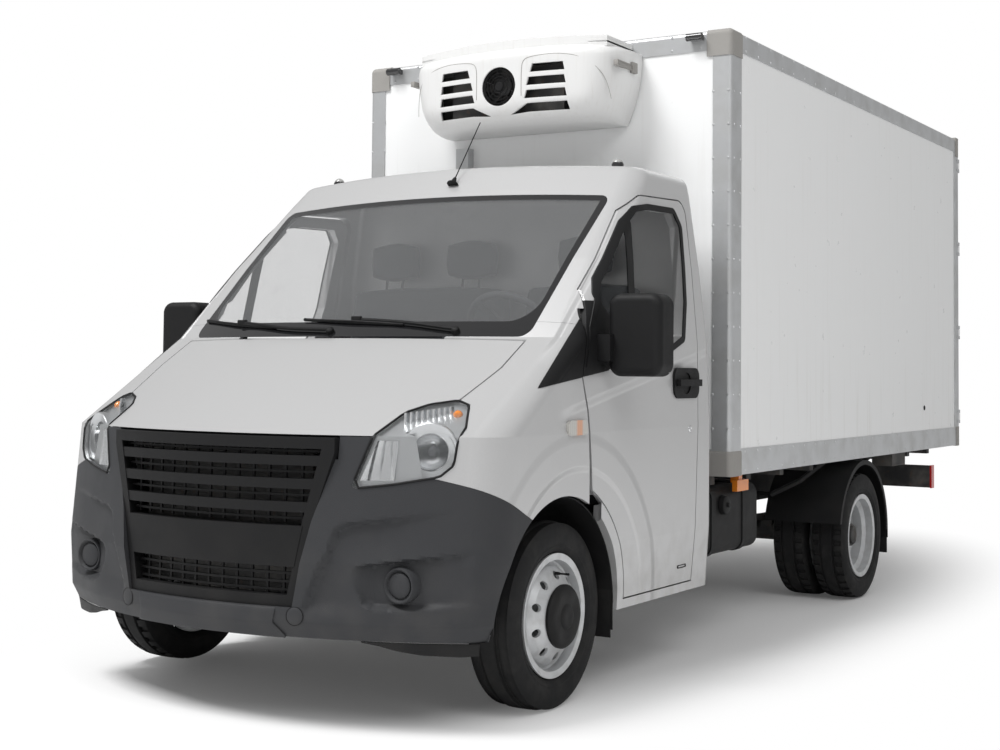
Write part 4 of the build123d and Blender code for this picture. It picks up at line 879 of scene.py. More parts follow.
def add_bumper_arms():
    """The bumper's arms beside the grille, and the black seal under the bonnet's edge."""
    def arm_place(across, up):
        """From the grille to the lamp, rising a little outwards at the foot."""
        foot = 898 - across * 90 * 0.17
        z = foot + up * (983 - foot)
        x = 508 + across * (lamp_edge(z) - 2 - 508)
        return x, nose_y(x, z) + (1.2 if up < 0.05 else 0), z

    def seal_place(across, up):
        """Across the nose, behind the gap."""
        x = (across * 2 - 1) * 560
        return x, nose_y(x, 975) + 34, 950 + up * 40

    arm = nose_panel("bumper_arm", 6, 8, arm_place, 0.022)
    finish_piece(nose_panel("bonnet_edge_seal", 24, 2, seal_place, 0.004), "black_plastic")
    finish_piece(joined("bumper_arms", [arm, mirrored(arm, "far_arm")]), "grey_plastic")


def add_nose_strip():
    """The centre strip under the grille, and the black lip below the bumper's outer parts."""
    def strip_place(across, up):
        """Just ahead of the bumper, its foot turned under and its head tucked in."""
        z = LIP_HEAD + up * 104
        x = (across * 2 - 1) * between(STRIP_WIDTHS, z)
        tuck = UNDER_SLOPE * max(0, 357 - z) + 5 * eased(z, 398, 410)
        return x, nose_y(x, z) - 4.5 + tuck, z

    strip = nose_panel("nose_strip", 40, 14, strip_place, 0.006)
    round_off(strip, 0.0015)
    finish_piece(strip, "grey_plastic")
    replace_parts(strip, "front_lip")

    def lip_place(across, up):
        """Set back under the bumper, further at its foot."""
        x = 598 + across * 356
        foot = between(LIP_FOOT, x)
        y = nose_y(x, 310)
        inset = nose_outward(x, y, 310) * -(26 + 8 * (1 - up))
        return x + inset.x, y + inset.y, foot + up * (LIP_HEAD - foot)

    lip = nose_panel("lower_lip", 24, 4, lip_place, 0.004)
    round_off(lip, 0.001)
    finish_piece(joined("lower_lips", [lip, mirrored(lip, "far_lip")]), "black_plastic")


def add_bumper_fittings():
    """Fog lamp blanks in their pots, and the tow eye's round cover."""
    pot = turned("fog_pot", [(0.060, 0.0595), (0.004, 0.0595), (0.0, 0.057), (0.0, 0.053),
                             (0.004, 0.050), (0.014, 0.0455), (0.014, 0.0435), (0.008, 0.042),
                             (0.004, 0.036), (0.002, 0.018), (0.001, 0.0003)],
                 on_ground(FOG[0], nose_y(*FOG) + 12, FOG[1]), axis="Y", steps=48)
    cover = turned("eye_cover", [(0.006, 0.0295), (-0.001, 0.0295), (-0.003, 0.027),
                                 (-0.0045, 0.014), (-0.005, 0.0003)], axis="Y", steps=40)
    seam = ring("eye_seam", 0.0308, 0.0016)
    x, z, turn = EYE
    facing(cover, on_ground(x, nose_y(x, z), z), turn)
    facing(seam, on_ground(x, nose_y(x, z) - 0.6, z), turn)
    for piece, slot in ((pot, "grey_plastic"), (cover, "grey_plastic"), (seam, "black_plastic")):
        finish_piece(piece, slot)
    for piece, slot in ((pot, "grey_plastic"), (cover, "grey_plastic"), (seam, "black_plastic")):
        paired(piece, "far_" + piece.name)


add_bumper()
add_bumper_arms()
add_nose_strip()
add_bumper_fittings()


# ---- Tyres and wheels --------------------------------------------------------------------
TREAD_STEPS = 72
REAR_Y = WHEELBASE - SHIFT_Y
FRONT_TRACK = 0.855      # middle of each tyre, out from the truck's middle
OUTER_TRACK = 0.8863
INNER_TRACK = 0.674
LOBE_HEIGHT = 0.0045
# half of the tyre's outline: across from its middle, and radius
TYRE_OUTLINE = [(0.0, 0.3345), (0.026, 0.3345), (0.030, 0.3265), (0.036, 0.3265), (0.040, 0.334),
                (0.064, 0.3325), (0.078, 0.3285), (0.084, 0.319), (0.0885, 0.306), (0.0915, 0.290),
                (0.0925, 0.275), (0.0915, 0.262), (0.0890, 0.252), (0.0900, 0.249),
                (0.0880, 0.244), (0.0835, 0.235), (0.0740, 0.2235), (0.069, 0.2215)]


def add_tyre(name, x, y, body):
    """A road tyre: grooves round it, cut shoulder blocks, and beads on its flanks."""
    whole = [(-u, r) for u, r in reversed(TYRE_OUTLINE[1:])] + TYRE_OUTLINE
    piece = turned(name, whole, steps=TREAD_STEPS)

    def shoulder(middle, _):
        """Every other face round each shoulder."""
        radius = sqrt(middle.y**2 + middle.z**2)
        step = int((atan2(middle.z, middle.y) + 2 * pi) / (2 * pi) * TREAD_STEPS)
        return radius > 0.3245 and 0.041 < abs(middle.x) < 0.083 and step % 2 == 0

    choose(piece, shoulder)
    bpy.ops.mesh.inset(thickness=0.0022, use_individual=False)
    bpy.ops.transform.resize(value=(0.97, 0.976, 0.976), center_override=(0, 0, 0))
    leave()
    piece.data.transform(Matrix.Translation((x, y, AXLE_Z)))
    return finish_piece(piece, "tyre", body)


def add_wheels():
    """Tyres, hub fittings and valves."""
    for side, sign in SIDES:
        single, twin = f"front_{side}_road_wheel", f"rear_{side}_twin_wheel"
        front = add_tyre(f"front_{side}_road_tyre", sign * FRONT_TRACK, -SHIFT_Y, single)
        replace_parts(front, f"front_{side}_tyre")
        outer = add_tyre(f"rear_{side}_outer_tyre", sign * OUTER_TRACK, REAR_Y, twin)
        inner = add_tyre(f"rear_{side}_inner_tyre", sign * INNER_TRACK, REAR_Y, twin)
        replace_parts(joined(f"rear_{side}_road_tyres", [outer, inner]), f"rear_{side}_tyres")
        add_rear_hub(side, sign, twin)
        add_valve(f"front_{side}_valve", sign, 0.948, -SHIFT_Y, 0.150, single)
        add_valve(f"rear_{side}_valve", sign, 0.824, REAR_Y, 0.160, twin)
        add_hub_cap(side, sign)


def add_hub_cap(side, sign):
    """The black cap over the front hub, with shallow lobes round its boss."""
    outline = [(0.005, 0.098), (0.009, 0.1125), (0.019, 0.1135), (0.027, 0.107), (0.0318, 0.094),
               (0.0325, 0.078), (0.0325, 0.060), (0.0325, 0.046), (0.0372, 0.0395),
               (0.0392, 0.034), (0.0392, 0.016), (0.0385, 0.013), (0.0385, 0.0003)]
    cap = turned(f"front_{side}_hub_cap", outline, outward=sign, steps=60)
    for vertex in cap.data.vertices:
        radius = sqrt(vertex.co.y**2 + vertex.co.z**2)
        if 0.05 < radius < 0.11:
            lobe = 0.5 + 0.5 * cos(5 * atan2(vertex.co.z, vertex.co.y))
            lobe *= eased(radius, 0.05, 0.07) * (1 - eased(radius, 0.098, 0.11))
            vertex.co.x += sign * LOBE_HEIGHT * lobe
    cap.data.transform(Matrix.Translation((sign * 0.953, -SHIFT_Y, AXLE_Z)))
    finish_piece(cap, "black_plastic", f"front_{side}_road_wheel")


def add_rear_hub(side, sign, body):
    """Six nuts on studs inside the rear dish, round its cap."""
    nut = disc("nut", 0.0155, (sign * 0.800, REAR_Y, AXLE_Z + 0.085), 0.024, 6)
    stepped(nut, (sign, 0, 0), (0.004, 0.007), (0.002, 0.006))
    hub = Vector((0, REAR_Y, AXLE_Z))
    nuts = [nut] + [turned_about(copied(nut), Matrix.Rotation(radians(60 * i), 4, "X"), hub)
                    for i in range(1, 6)]
    cap = disc("hub_cap", 0.0595, (sign * 0.888, REAR_Y, AXLE_Z), 0.05, 40)
    stepped(cap, (sign, 0, 0), (0.010, 0.012), (0.020, -0.004))
    round_off(cap, 0.002)
    finish_piece(joined(f"rear_{side}_hub_fittings", nuts + [cap]), "dark_metal", body)


def add_valve(name, sign, x, y, radius, body):
    """A tyre valve's stem, above the hub."""
    stem = turned(name, [(-0.012, 0.0005), (-0.012, 0.006), (0.004, 0.0055), (0.010, 0.0035),
                         (0.030, 0.0035), (0.031, 0.0045), (0.044, 0.0045), (0.046, 0.0005)],
                  (sign * x, y, AXLE_Z + radius), outward=sign, steps=10)
    finish_piece(stem, "black_plastic", body)


add_wheels()


# ---- Cooling unit ------------------------------------------------------------------------
UNIT_HALF = 0.550
UNIT_LOW = 2.332
UNIT_HIGH = 2.676
FAN_CENTRE = on_ground(0, 1087, 2502)
FAN_RADIUS = 0.089
UNIT_FACE = FAN_CENTRE.y + 0.002
FAN_SIDES = 40
UNIT_HEIGHT = UNIT_HIGH - UNIT_LOW
# each side slot's inner and outer end, from the top one down, and the lowest slot's outline
SLOT_ENDS = ((0.160, 0.330), (0.142, 0.336), (0.132, 0.340))
SLOT_TOP = 2.574
SLOT_STEP = 0.059
SLOT_HALF = 0.019
LOW_SLOT = ((0.052, -0.026), (0.15, -0.019), (0.345, -0.019),
            (0.340, 0.019), (0.145, 0.019), (0.095, -0.006))
LOW_SLOT_Z = 2.397
# the seam round the front's panel in the front view, on the left
SEAM = ((0.120, 2.45), (0.118, 2.56), (0.126, 2.616), (0.18, 2.628), (0.30, 2.632),
        (0.40, 2.612), (0.47, 2.566), (0.510, 2.50), (0.520, 2.42))
HOOD_HALF = 500
HOOD_FRONT = 1200
BOX_FRONT = 1452


def rolled(distance, radius):
    """How far a rounded edge falls back at a distance in from it."""
    inner = max(0.0, radius - max(distance, 0.0))
    return radius - sqrt(max(radius * radius - inner * inner, 0.0))


def unit_front(x, z):
    """The moulded front's depth at one place, behind its foremost line."""
    bow = 0.075 * (x / UNIT_HALF)**2
    sides = rolled(UNIT_HALF - abs(x), 0.13)
    foot = rolled(z - UNIT_LOW, 0.12) * 0.8
    head = rolled(UNIT_HIGH - z, 0.05) * 0.7
    return bow + sides + foot + head


def slot_cutter(points):
    """A prism through the unit's front, from a front-view outline in metres."""
    mesh = bpy.data.meshes.new("slot")
    spots = [(x, y, z) for y in (UNIT_FACE - 0.05, UNIT_FACE + 0.12) for x, z in points]
    count = len(points)
    faces = [list(range(count)), list(range(2 * count - 1, count - 1, -1))]
    faces += [[i, i + count, (i + 1) % count + count, (i + 1) % count] for i in range(count)]
    mesh.from_pydata(spots, [], faces)
    piece = linked("slot", mesh)
    enter(piece)
    bpy.ops.mesh.normals_make_consistent(inside=False)
    leave()
    return piece


def cut(piece, points):
    """Cuts a slot with a front-view outline through a piece."""
    cutter = slot_cutter(points)
    changed(piece, "BOOLEAN", object=cutter, operation="DIFFERENCE")
    bpy.data.objects.remove(cutter, do_unlink=True)


def add_unit_shell():
    """The moulded front: bowed, rounded at its ends and foot, slotted each side of the fan."""
    shell = upright_grid("unit_moulding", 46, 22, 2 * UNIT_HALF, UNIT_HEIGHT,
                         (UNIT_LOW + UNIT_HIGH) / 2)
    for vertex in shell.data.vertices:
        x, _, z = vertex.co
        drawn_in = 1 - 0.13 * (1 - min(1, (z - UNIT_LOW) / 0.30))**2
        crown = 1 - 0.055 * (abs(x) / UNIT_HALF)**3 * (z - UNIT_LOW) / UNIT_HEIGHT
        vertex.co = (x * drawn_in, UNIT_FACE + unit_front(x, z), UNIT_LOW + (z - UNIT_LOW) * crown)
    enter(shell)
    bpy.ops.mesh.select_mode(type="EDGE")
    bpy.ops.mesh.select_all(action="DESELECT")
    bpy.ops.mesh.select_non_manifold()
    push((0, 0.04, 0))
    push((0, 0.05, 0))
    leave()
    for vertex in shell.data.vertices:
        if vertex.select:
            vertex.co.y = on_ground(0, BOX_FRONT, 0).y
    enter(shell)
    bpy.ops.mesh.normals_make_consistent(inside=False)
    leave()
    changed(shell, "SOLIDIFY", thickness=0.010, offset=-1)
    steps = [2 * pi * i / FAN_SIDES for i in range(FAN_SIDES)]
    cut(shell, [(FAN_RADIUS * cos(a), FAN_CENTRE.z + FAN_RADIUS * sin(a)) for a in steps])
    for sign in (-1, 1):
        for row, (inner, outer) in enumerate(SLOT_ENDS):
            low = SLOT_TOP - row * SLOT_STEP - SLOT_HALF
            high = SLOT_TOP - row * SLOT_STEP + SLOT_HALF
            cut(shell, [(sign * inner, low), (sign * outer, low),
                        (sign * (outer - 0.008), high), (sign * (inner + 0.012), high)])
        cut(shell, [(sign * x, LOW_SLOT_Z + z) for x, z in LOW_SLOT])
    round_off(shell, 0.003, 2, 50)
    return finish_piece(shell, "white_shell", smooth=40)


def add_unit_hood():
    """The shallow arched hood on top, its edges rolled down."""
    low, high = on_ground(-HOOD_HALF, HOOD_FRONT, 2660), on_ground(HOOD_HALF, BOX_FRONT, 2722)
    hood = slab("unit_hood", low, high)
    enter(hood)
    bpy.ops.mesh.subdivide(number_cuts=11)
    leave()
    for vertex in hood.data.vertices:
        outward = (vertex.co.x / high.x)**2
        if vertex.co.z > 2.69:
            vertex.co.z -= 0.014 * outward
        back = (vertex.co.y - low.y) / (high.y - low.y)
        vertex.co.y -= 0.060 * (1 - outward) * (1 - back)
    round_off(hood, 0.024, 5, 60)
    return finish_piece(hood, "white_shell")


def add_unit_fittings():
    """Fan guard, latch and the panel's seam."""
    centre = FAN_CENTRE + Vector((0, 0.010, 0))
    made = [ring("ring", radius, 0.0022, centre) for radius in (0.030, 0.046, 0.062, 0.077, 0.0875)]
    for i in range(6):
        turn = Matrix.Rotation(radians(60 * i + 20), 4, "Y")
        inner = centre + turn @ Vector((0.010, 0.003, 0))
        outer = centre + turn @ Vector((0.088, 0.003, 0))
        made.append(tube("spoke", [inner, (inner + outer) / 2, outer], 0.0024))
    made.append(turned("guard_hub", [(-0.006, 0.0003), (-0.006, 0.018), (0.0, 0.023),
                                     (0.006, 0.023), (0.006, 0.0003)], centre, axis="Y", steps=24))
    finish_piece(joined("fan_guard", made), "black_plastic")

    latch = slab("unit_latch", on_ground(538, 1190, 2566), on_ground(560, 1345, 2592))
    stepped(latch, (1, 0, 0), (0.006, -0.005))
    round_off(latch, 0.003)
    plate = slab("latch_plate", on_ground(544, 1335, 2556), on_ground(564, 1380, 2604))
    stepped(plate, (1, 0, 0), (0.009, 0.004))
    round_off(plate, 0.003)
    latches = finish_piece(joined("unit_latches", [latch, plate]), "grey_casting")
    paired(latches, "unit_latches_far")
    for sign, name in ((1, "seam_near"), (-1, "seam_far")):
        line = [(sign * x, UNIT_FACE - 0.0005 + unit_front(x, z), z) for x, z in SEAM]
        finish_piece(tube(name, line, 0.0013, 4), "grey_casting")


moulding = joined("unit_moulding", [add_unit_shell(), add_unit_hood()])
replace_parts(moulding, "unit_shell")
add_unit_fittings()


# ---- Lamps -------------------------------------------------------------------------------
# front view of the left headlamp's cover (x, z), in millimetres
LAMP_OUTLINE = [(555, 810), (584, 897), (612, 983), (640, 1064), (695, 1092), (774, 1106),
                (822, 1090), (876, 1009), (866, 892), (826, 852), (696, 827), (625, 818)]


LAMP_MIDDLE = (735, 960)
LAMP_TURN = 22           # how far the bowls look outwards, in degrees
MAIN_BOWL = (770, -556, 933)
LOW_BOWL = (672, -618, 876)
BULB_SHIELD = (770, -540, 933)
TURN_BULB = (800, -440, 1054)


def add_lamp_seal(side, sign):
    """The black seal round the headlamp's cover, laid on the cover's own face."""
    mesh = frame["nodes"]["headlamp_covers"].data
    face = BVHTree.FromPolygons([v.co for v in mesh.vertices],
                                [list(p.vertices) for p in mesh.polygons])
    spots = []
    for start, end in zip(LAMP_OUTLINE, LAMP_OUTLINE[1:] + LAMP_OUTLINE[:1]):
        for share in (0.12, 0.37, 0.63, 0.88):
            flat = Vector(start).lerp(Vector(end), share)
            flat += (Vector(LAMP_MIDDLE) - flat).normalized() * 2
            place = face.ray_cast(on_ground(sign * flat.x, -1100, flat.y), Vector((0, 1, 0)))[0]
            if place is not None:
                spots.append(place)
    seal = tube(f"{side}_lamp_seal", spots + spots[:1], 0.0042, 8, smooth=False)
    finish_piece(seal, "black_plastic")


def add_side_reflector(side, sign):
    """The creased bright reflector beside the round bowl."""
    def place(across, up):
        """Behind the cover, folded three times across."""
        z = 838 + up * 132
        inner = lamp_edge(z) + 14
        x = inner + across * (686 - inner)
        crease = abs((across * 3 + up * 0.6) % 1 - 0.5)
        return x, nose_y(x, z) + 21 - crease * 18, z

    reflector = nose_panel(f"{side}_side_reflector", 36, 10, place, 0.002)
    finish_piece(on_side(reflector, sign), "lamp_chrome", smooth=20)


def add_headlamp(side, sign):
    """Reflector bowls, bulbs and the ribbed turn signal behind one clear cover."""
    add_lamp_seal(side, sign)
    add_side_reflector(side, sign)

    def spun(name, place, steps, profile):
        """A spun piece that looks out of the lamp at its place."""
        x, y, z = place
        return facing(turned(name, profile, axis="Y", steps=steps), on_ground(sign * x, y, z),
                      LAMP_TURN * sign)

    main = spun("main_bowl", MAIN_BOWL, 40, [
        (-0.002, 0.0635), (-0.003, 0.061), (0.012, 0.059), (0.034, 0.052), (0.052, 0.038),
        (0.062, 0.020), (0.063, 0.0004)])
    bezel = spun(f"{side}_lamp_bezel", MAIN_BOWL, 48, [
        (0.012, 0.099), (-0.010, 0.099), (-0.013, 0.096), (-0.012, 0.092), (-0.002, 0.066),
        (-0.001, 0.063), (0.006, 0.0625), (0.012, 0.099)])
    # the bezel takes the duller chrome, painted shade
    finish_piece(bezel, "lamp_chrome", look="lamp_grey")
    low = spun("low_bowl", LOW_BOWL, 24, [
        (-0.006, 0.034), (-0.007, 0.031), (0.014, 0.028), (0.026, 0.014), (0.028, 0.0004)])
    finish_piece(joined(f"{side}_lamp_bowls", [main, low]), "lamp_chrome")
    shield = spun(f"{side}_bulb_shield", BULB_SHIELD, 24, [
        (-0.020, 0.0004), (-0.019, 0.010), (-0.012, 0.017), (0.0, 0.019), (0.012, 0.019),
        (0.013, 0.012), (0.05, 0.009), (0.05, 0.0004)])
    finish_piece(shield, "dark_trim")
    bulb = spun(f"{side}_turn_bulb", TURN_BULB, 20, [
        (-0.016, 0.0004), (-0.014, 0.009), (-0.006, 0.016), (0.004, 0.018), (0.014, 0.015),
        (0.024, 0.011), (0.024, 0.0004)])
    finish_piece(bulb, "amber_lens")
    ribs = []
    for i in range(9):
        x = 668 + i * 13.5
        y = -560 + i * 14.0
        rib = slab("rib", on_ground(x - 3.5, y, 1012 + i * 1.5), on_ground(x + 3.5, y + 16, 1062 + i * 2.6))
        stepped(rib, (0, -1, 0), (0.0012, 0.004))
        ribs.append(rib)
    finish_piece(on_side(joined(f"{side}_turn_panel", ribs), sign), "lamp_chrome")


for side, sign in SIDES:
    add_headlamp(side, sign)


# ---- Cab fittings ------------------------------------------------------------------------
def add_mirror_glass(side, sign):
    """The mirror's bright glass in its housing, in two panes."""
    panes = []
    for low, high in ((1206, 1298), (1304, 1481)):
        pane = slab("pane", on_ground(1031, 330, low), on_ground(1219, 335, high))
        stepped(pane, (0, 1, 0), (0.006, 0.0015))
        round_off(pane, 0.002)
        panes.append(pane)
    glass = on_side(joined(f"{side}_mirror_glass", panes), sign)
    finish_piece(glass, "lamp_chrome", f"{side}_cab_door")


def add_door_fittings(side, sign):
    """Lock barrel and drain slot on one door."""
    body = f"{side}_cab_door"
    lock = turned(f"{side}_door_lock", [(-0.004, 0.0004), (-0.004, 0.014), (0.004, 0.014),
                                        (0.0065, 0.011), (0.0065, 0.0075), (0.005, 0.006),
                                        (0.005, 0.0004)],
                  on_ground(sign * 999, 1005, 973), outward=sign, steps=24)
    finish_piece(lock, "lamp_chrome", body)
    drain = slab(f"{side}_door_drain", on_ground(982, 905, 408), on_ground(994, 990, 424))
    round_off(drain, 0.005)
    stepped(drain, (1, 0, 0), (0.003, -0.004))
    finish_piece(on_side(drain, sign), "black_plastic", body)


def add_aerial():
    """Aerial base on the roof's front edge with its raked whip."""
    foot = on_ground(80, 600, 1994)
    base = turned("aerial_base", [(0.0, 0.0004), (0.0, 0.026), (0.006, 0.024), (0.016, 0.012),
                                  (0.036, 0.0065), (0.040, 0.0004)], axis="Z", steps=24)
    base.data.transform(Matrix.Rotation(radians(-32), 4, "X"))
    base.data.transform(Matrix.Translation(foot))
    start, tip = foot + Vector((0, 0.018, 0.028)), on_ground(79, 815, 2290)
    whip = tube("aerial_whip", [start, start.lerp(tip, 0.5), tip], 0.0024)
    finish_piece(joined("aerial", [base, whip]), "black_plastic")


# the black corner's lower front tip, and the planes of its slanting front and its foot
TRIM_TIP = on_ground(978, -206, 1148)
TRIM_FRONT = (TRIM_TIP, (-0.746, -0.427, 0.51))
TRIM_FOOT = (TRIM_TIP, (0.226, 0.118, -0.967))


def kept(node, name, *planes):
    """A copy of a solid's mesh, cut with planes and closed over: what lies behind them all."""
    piece = merged_copy(node, name)
    for place, outward in planes:
        enter(piece)
        bpy.ops.mesh.bisect(plane_co=place, plane_no=outward, use_fill=True, clear_outer=True)
        leave()
    return piece


def outside(x):
    """The plane that keeps what lies outside a half width."""
    return (x, 0, 0), (-1, 0, 0)


def ahead_of(y):
    """The plane that keeps what lies ahead of a place along the truck."""
    return on_ground(0, y, 0), (0, 1, 0)


def below(z):
    """The plane that keeps what lies below a height."""
    return (0, 0, z), (0, 0, 1)


def add_wing_trims():
    """The black triangles at the wings' rear upper corners, cut from the wings' own form."""
    trim = kept("wings", "wing_trim", outside(0.5), TRIM_FRONT, TRIM_FOOT)
    tip = kept("cab_body", "trim_tip", outside(0.90), ahead_of(172), below(1.435), TRIM_FRONT,
               TRIM_FOOT)
    for piece in (trim, tip):
        changed(piece, "DISPLACE", strength=0.003, mid_level=0)
    trim = joined("wing_trims", [trim, tip])
    trims = joined("wing_trims", [trim, mirrored(trim, "far_trim")])
    finish_piece(trims, "black_plastic")
    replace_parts(trims, "cab_trims")


def add_door_sails():
    """The black corner of each door between its shut line and the mirror's foot."""
    sail = kept("left_door", "left_door_sail", outside(0.93), ahead_of(300), below(1.470), TRIM_FOOT)
    changed(sail, "DISPLACE", strength=0.0015, mid_level=0)
    finish_piece(sail, "black_plastic", "left_cab_door")
    paired(sail, "right_door_sail", "right_cab_door")


# the windscreen's face at two heights: height, depth of its middle line, radius of its bow
SCREEN_LOW = (1330, -115, 2900)
SCREEN_HIGH = (1640, 212, 3000)
# each wiper's arm from its spindle, and its blade, in the front view
WIPER_LINES = (((-21, 1350), (-140, 1353), (-268, 1358), (-400, 1372), (-530, 1382)),
               ((528, 1351), (436, 1362), (344, 1374), (210, 1384), (80, 1390)))
BLADE_LINES = (((-330, 1366), (-480, 1372), (-640, 1384), (-800, 1400)),
               ((300, 1374), (140, 1380), (-20, 1386), (-190, 1396)))


def on_screen(x, z, lift):
    """A point that stands off the windscreen's face at one place of its front view."""
    share = (z - SCREEN_LOW[0]) / (SCREEN_HIGH[0] - SCREEN_LOW[0])
    low_y, radius = (SCREEN_LOW[i] + share * (SCREEN_HIGH[i] - SCREEN_LOW[i]) for i in (1, 2))
    y = low_y + radius - sqrt(radius**2 - x**2)
    out = Vector((x / radius, -1, 1.05)).normalized() * lift
    return on_ground(x + out.x, y + out.y, z + out.z)


def add_wipers():
    """Arms on their spindles, and blades with their spines, laid on the glass."""
    made = []
    for line, blade_line in zip(WIPER_LINES, BLADE_LINES):
        arm = tube("arm", [on_screen(x, z, 13) for x, z in line], 0.0070)
        blade = tube("blade", [on_screen(x, z, 7) for x, z in blade_line], 0.0065)
        spine = tube("spine", [on_screen(x, z, lift) for (x, z), lift in
                               zip(blade_line, (8, 13, 13, 8))], 0.0045, 6)
        cap = turned("cap", [(-0.012, 0.0003), (-0.012, 0.016), (0.012, 0.016), (0.017, 0.012),
                             (0.019, 0.006), (0.019, 0.0003)], axis="Z", steps=20)
        cap.data.transform(Matrix.Rotation(radians(35), 4, "X"))
        cap.data.transform(Matrix.Translation(on_screen(*line[0], 0)))
        middle = on_screen(*line[-1], 16)
        saddle = slab("saddle", middle - Vector((0.022, 0.008, 0.008)),
                      middle + Vector((0.022, 0.008, 0.010)))
        round_off(saddle, 0.003)
        made += [arm, blade, spine, cap, saddle]
    finish_piece(joined("wiper_set", made), "black_plastic")


def add_grommet():
    """The round black drain cover low on the box's side."""
    cover = turned("drain_cover", [(-0.004, 0.0145), (0.002, 0.0145), (0.004, 0.0125),
                                   (0.0045, 0.008), (0.003, 0.006), (0.003, 0.0003)],
                   on_ground(985, 4422, 1004), steps=28)
    finish_piece(cover, "black_plastic")


RIVET_ROWS = (772, 856, 2660, 2720)
UNIT_CLEAR = 560         # half width of the box's front that the cooling unit hides


def add_rivets():
    """Rows of dome rivets along the box's extrusions and castings."""
    none()
    bpy.ops.mesh.primitive_uv_sphere_add(segments=8, ring_count=4, radius=0.0065)
    dome = bpy.context.object
    choose(dome, lambda c, n: c.z < -0.001)
    bpy.ops.mesh.delete(type="FACE")
    leave()
    dome.data.transform(Matrix.Scale(0.5, 4, (0, 0, 1)))
    faces = {"front": Matrix.Rotation(pi / 2, 4, "X"), "left": Matrix.Rotation(pi / 2, 4, "Y"),
             "right": Matrix.Rotation(-pi / 2, 4, "Y")}
    spots = []
    for z in range(960, 2600, 150):
        spots += [("front", (x, 1453, z)) for x in (-903, 903, -975, 975)]
        spots += [(side, (sign * 990, y, z)) for y in (1487, 1556, 5106, 5160) for side, sign in SIDES]
    for z in RIVET_ROWS:
        spots += [(side, (sign * 990, y, z)) for y in range(1620, 5060, 150) for side, sign in SIDES]
        spots += [("front", (x, 1453, z)) for x in range(-840, 841, 140)
                  if abs(x) > UNIT_CLEAR or z < 1000]
    domes = [copied(dome) for _ in spots]
    for twin, (face, place) in zip(domes, spots):
        twin.data.transform(Matrix.Translation(on_ground(*place)) @ faces[face])
    bpy.data.objects.remove(dome, do_unlink=True)
    finish_piece(joined("box_rivets", domes), "alloy")


for side, sign in SIDES:
    add_mirror_glass(side, sign)
    add_door_fittings(side, sign)
add_wing_trims()
add_door_sails()
add_wipers()
add_aerial()
add_grommet()
add_rivets()


# ---- Seats -------------------------------------------------------------------------------
# each seat's two sides, the middles of its head restraints, and its sewn channels as
# (place from -1 to 1 across it, width, depth)
SEATS = ((-798, 58, (-585, -155), [(0.0, 0.12, 0.010)]),
         (162, 718, (440,), [(-0.62, 0.1, 0.008), (0.62, 0.1, 0.008)]))


def cushion(name, low, high, crown, channels=()):
    """A crowned pad between two corners, drawn in at its seams and sewn channels."""
    pad = slab(name, low, high)
    enter(pad)
    bpy.ops.mesh.subdivide(number_cuts=9)
    leave()
    middle = (Vector(low) + Vector(high)) / 2
    half = (Vector(high) - Vector(low)) / 2
    for vertex in pad.data.vertices:
        u, v, w = [(vertex.co[i] - middle[i]) / half[i] for i in range(3)]
        for axis, (a, b, own) in enumerate(((v, w, u), (u, w, v), (u, v, w))):
            fullness = (1 - a * a) * (1 - b * b)
            vertex.co[axis] += own * crown * (fullness - 0.55)
        for at, width, depth in channels:
            gap = abs(u - at) / width
            if gap < 1:
                vertex.co += (middle - vertex.co).normalized() * depth * (1 - gap)
    changed(pad, "SUBSURF", levels=1, render_levels=1)
    return pad


def add_seats():
    """Driver's seat and a double passenger seat: pads, backs, head restraints and plinths."""
    pads = []
    plinths = []
    hinge = on_ground(0, 1030, 960)
    for low, high, heads, seam in SEATS:
        pads.append(cushion("pad", on_ground(low, 524, 884), on_ground(high, 1016, 1006), 0.022, seam))
        back = cushion("back", on_ground(low, 985, 955), on_ground(high, 1090, 1590), 0.022, seam)
        pads.append(turned_about(back, Matrix.Rotation(radians(-7), 4, "X"), hinge))
        for x in heads:
            pads.append(cushion("head", on_ground(x - 128, 1085, 1632), on_ground(x + 128, 1168, 1796),
                                0.020))
            for post in (x - 45, x + 45):
                line = [on_ground(post, y, z) for y, z in ((1110, 1560), (1118, 1610), (1124, 1670))]
                plinths.append(tube("post", line, 0.006))
        base = slab("plinth", on_ground(low + 40, 562, 701), on_ground(high - 40, 978, 896))
        stepped(base, (0, 0, 1), (0.02, 0))
        round_off(base, 0.012)
        plinths.append(base)
    cloth = joined("seat_pads", pads)
    finish_piece(cloth, "seat_cloth", smooth=60)
    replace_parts(cloth, "seats")
    finish_piece(joined("seat_plinths", plinths), "dark_trim")


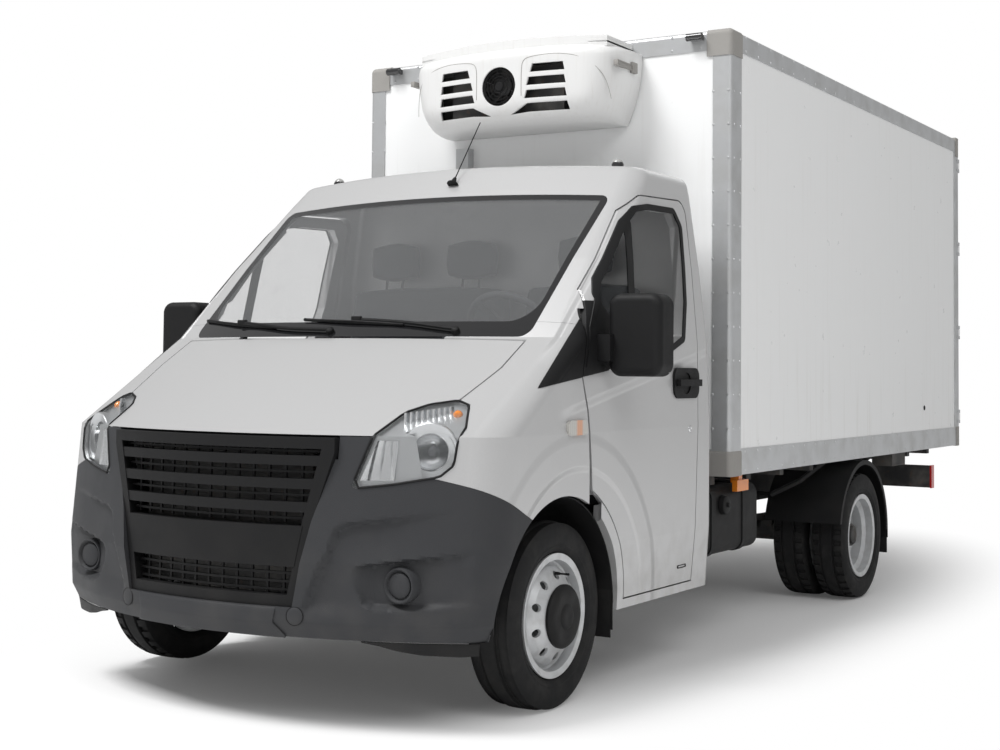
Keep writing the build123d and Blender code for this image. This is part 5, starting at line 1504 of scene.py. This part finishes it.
# ---- Side gear ---------------------------------------------------------------------------
def add_tank_cap():
    """Filler neck and cap on the side tank."""
    cap = turned("tank_cap", [(-0.03, 0.034), (0.004, 0.034), (0.006, 0.044), (0.026, 0.042),
                              (0.030, 0.036), (0.030, 0.012), (0.040, 0.010), (0.040, 0.0004)],
                 on_ground(902, 1560, 618), steps=28)
    finish_piece(cap, "black_plastic")


def add_mud_flaps():
    """Flexible flaps behind the front and rear wheels."""
    made = []
    for low, high in (((600, 376, 205), (962, 382, 395)), ((575, 3700, 205), (980, 3706, 330))):
        flap = slab("flap", on_ground(*low), on_ground(*high))
        stepped(flap, (0, 1, 0), (0.015, -0.0015))
        round_off(flap, 0.0015)
        made += [flap, mirrored(flap, "flap")]
    finish_piece(joined("mud_flaps", made), "black_plastic")


def add_rear_lamps():
    """Round lamp faces in the rear lamp boxes, and the blank plate holder."""
    faces = []
    for sign in (-1, 1):
        for x in (668, 760, 852):
            dome = turned("dome", [(0.0, 0.040), (0.006, 0.039), (0.010, 0.034), (0.013, 0.018),
                                   (0.014, 0.0004)], on_ground(sign * x, 4760, 572), axis="Y", steps=24)
            faces.append(dome)
    finish_piece(joined("rear_lamp_faces", faces), "red_lens")
    plate = slab("rear_plate_holder", on_ground(-260, 4744, 520), on_ground(260, 4752, 632))
    stepped(plate, (0, 1, 0), (0.008, -0.003))
    round_off(plate, 0.002)
    finish_piece(plate, "grey_casting")


def add_brackets():
    """Struts from the mudguards and underrun bar up to the box."""
    made = []
    for y in (2920, 3690):
        strut = tube("strut", [on_ground(x, y, z) for x, z in ((600, 560), (760, 640), (900, 752))],
                     0.014, smooth=False)
        made += [strut, mirrored(strut, "strut")]
    hanger = slab("hanger", on_ground(470, 4640, 560), on_ground(520, 4690, 753))
    round_off(hanger, 0.004)
    made += [hanger, mirrored(hanger, "hanger")]
    box = slab("bracket_box", on_ground(830, 3900, 676), on_ground(950, 4150, 753))
    stepped(box, (1, 0, 0), (0.01, -0.004))
    round_off(box, 0.004)
    made += [box, mirrored(box, "bracket_box")]
    finish_piece(joined("hanging_brackets", made), "dark_metal")


add_seats()
add_tank_cap()
add_mud_flaps()
add_rear_lamps()
add_brackets()
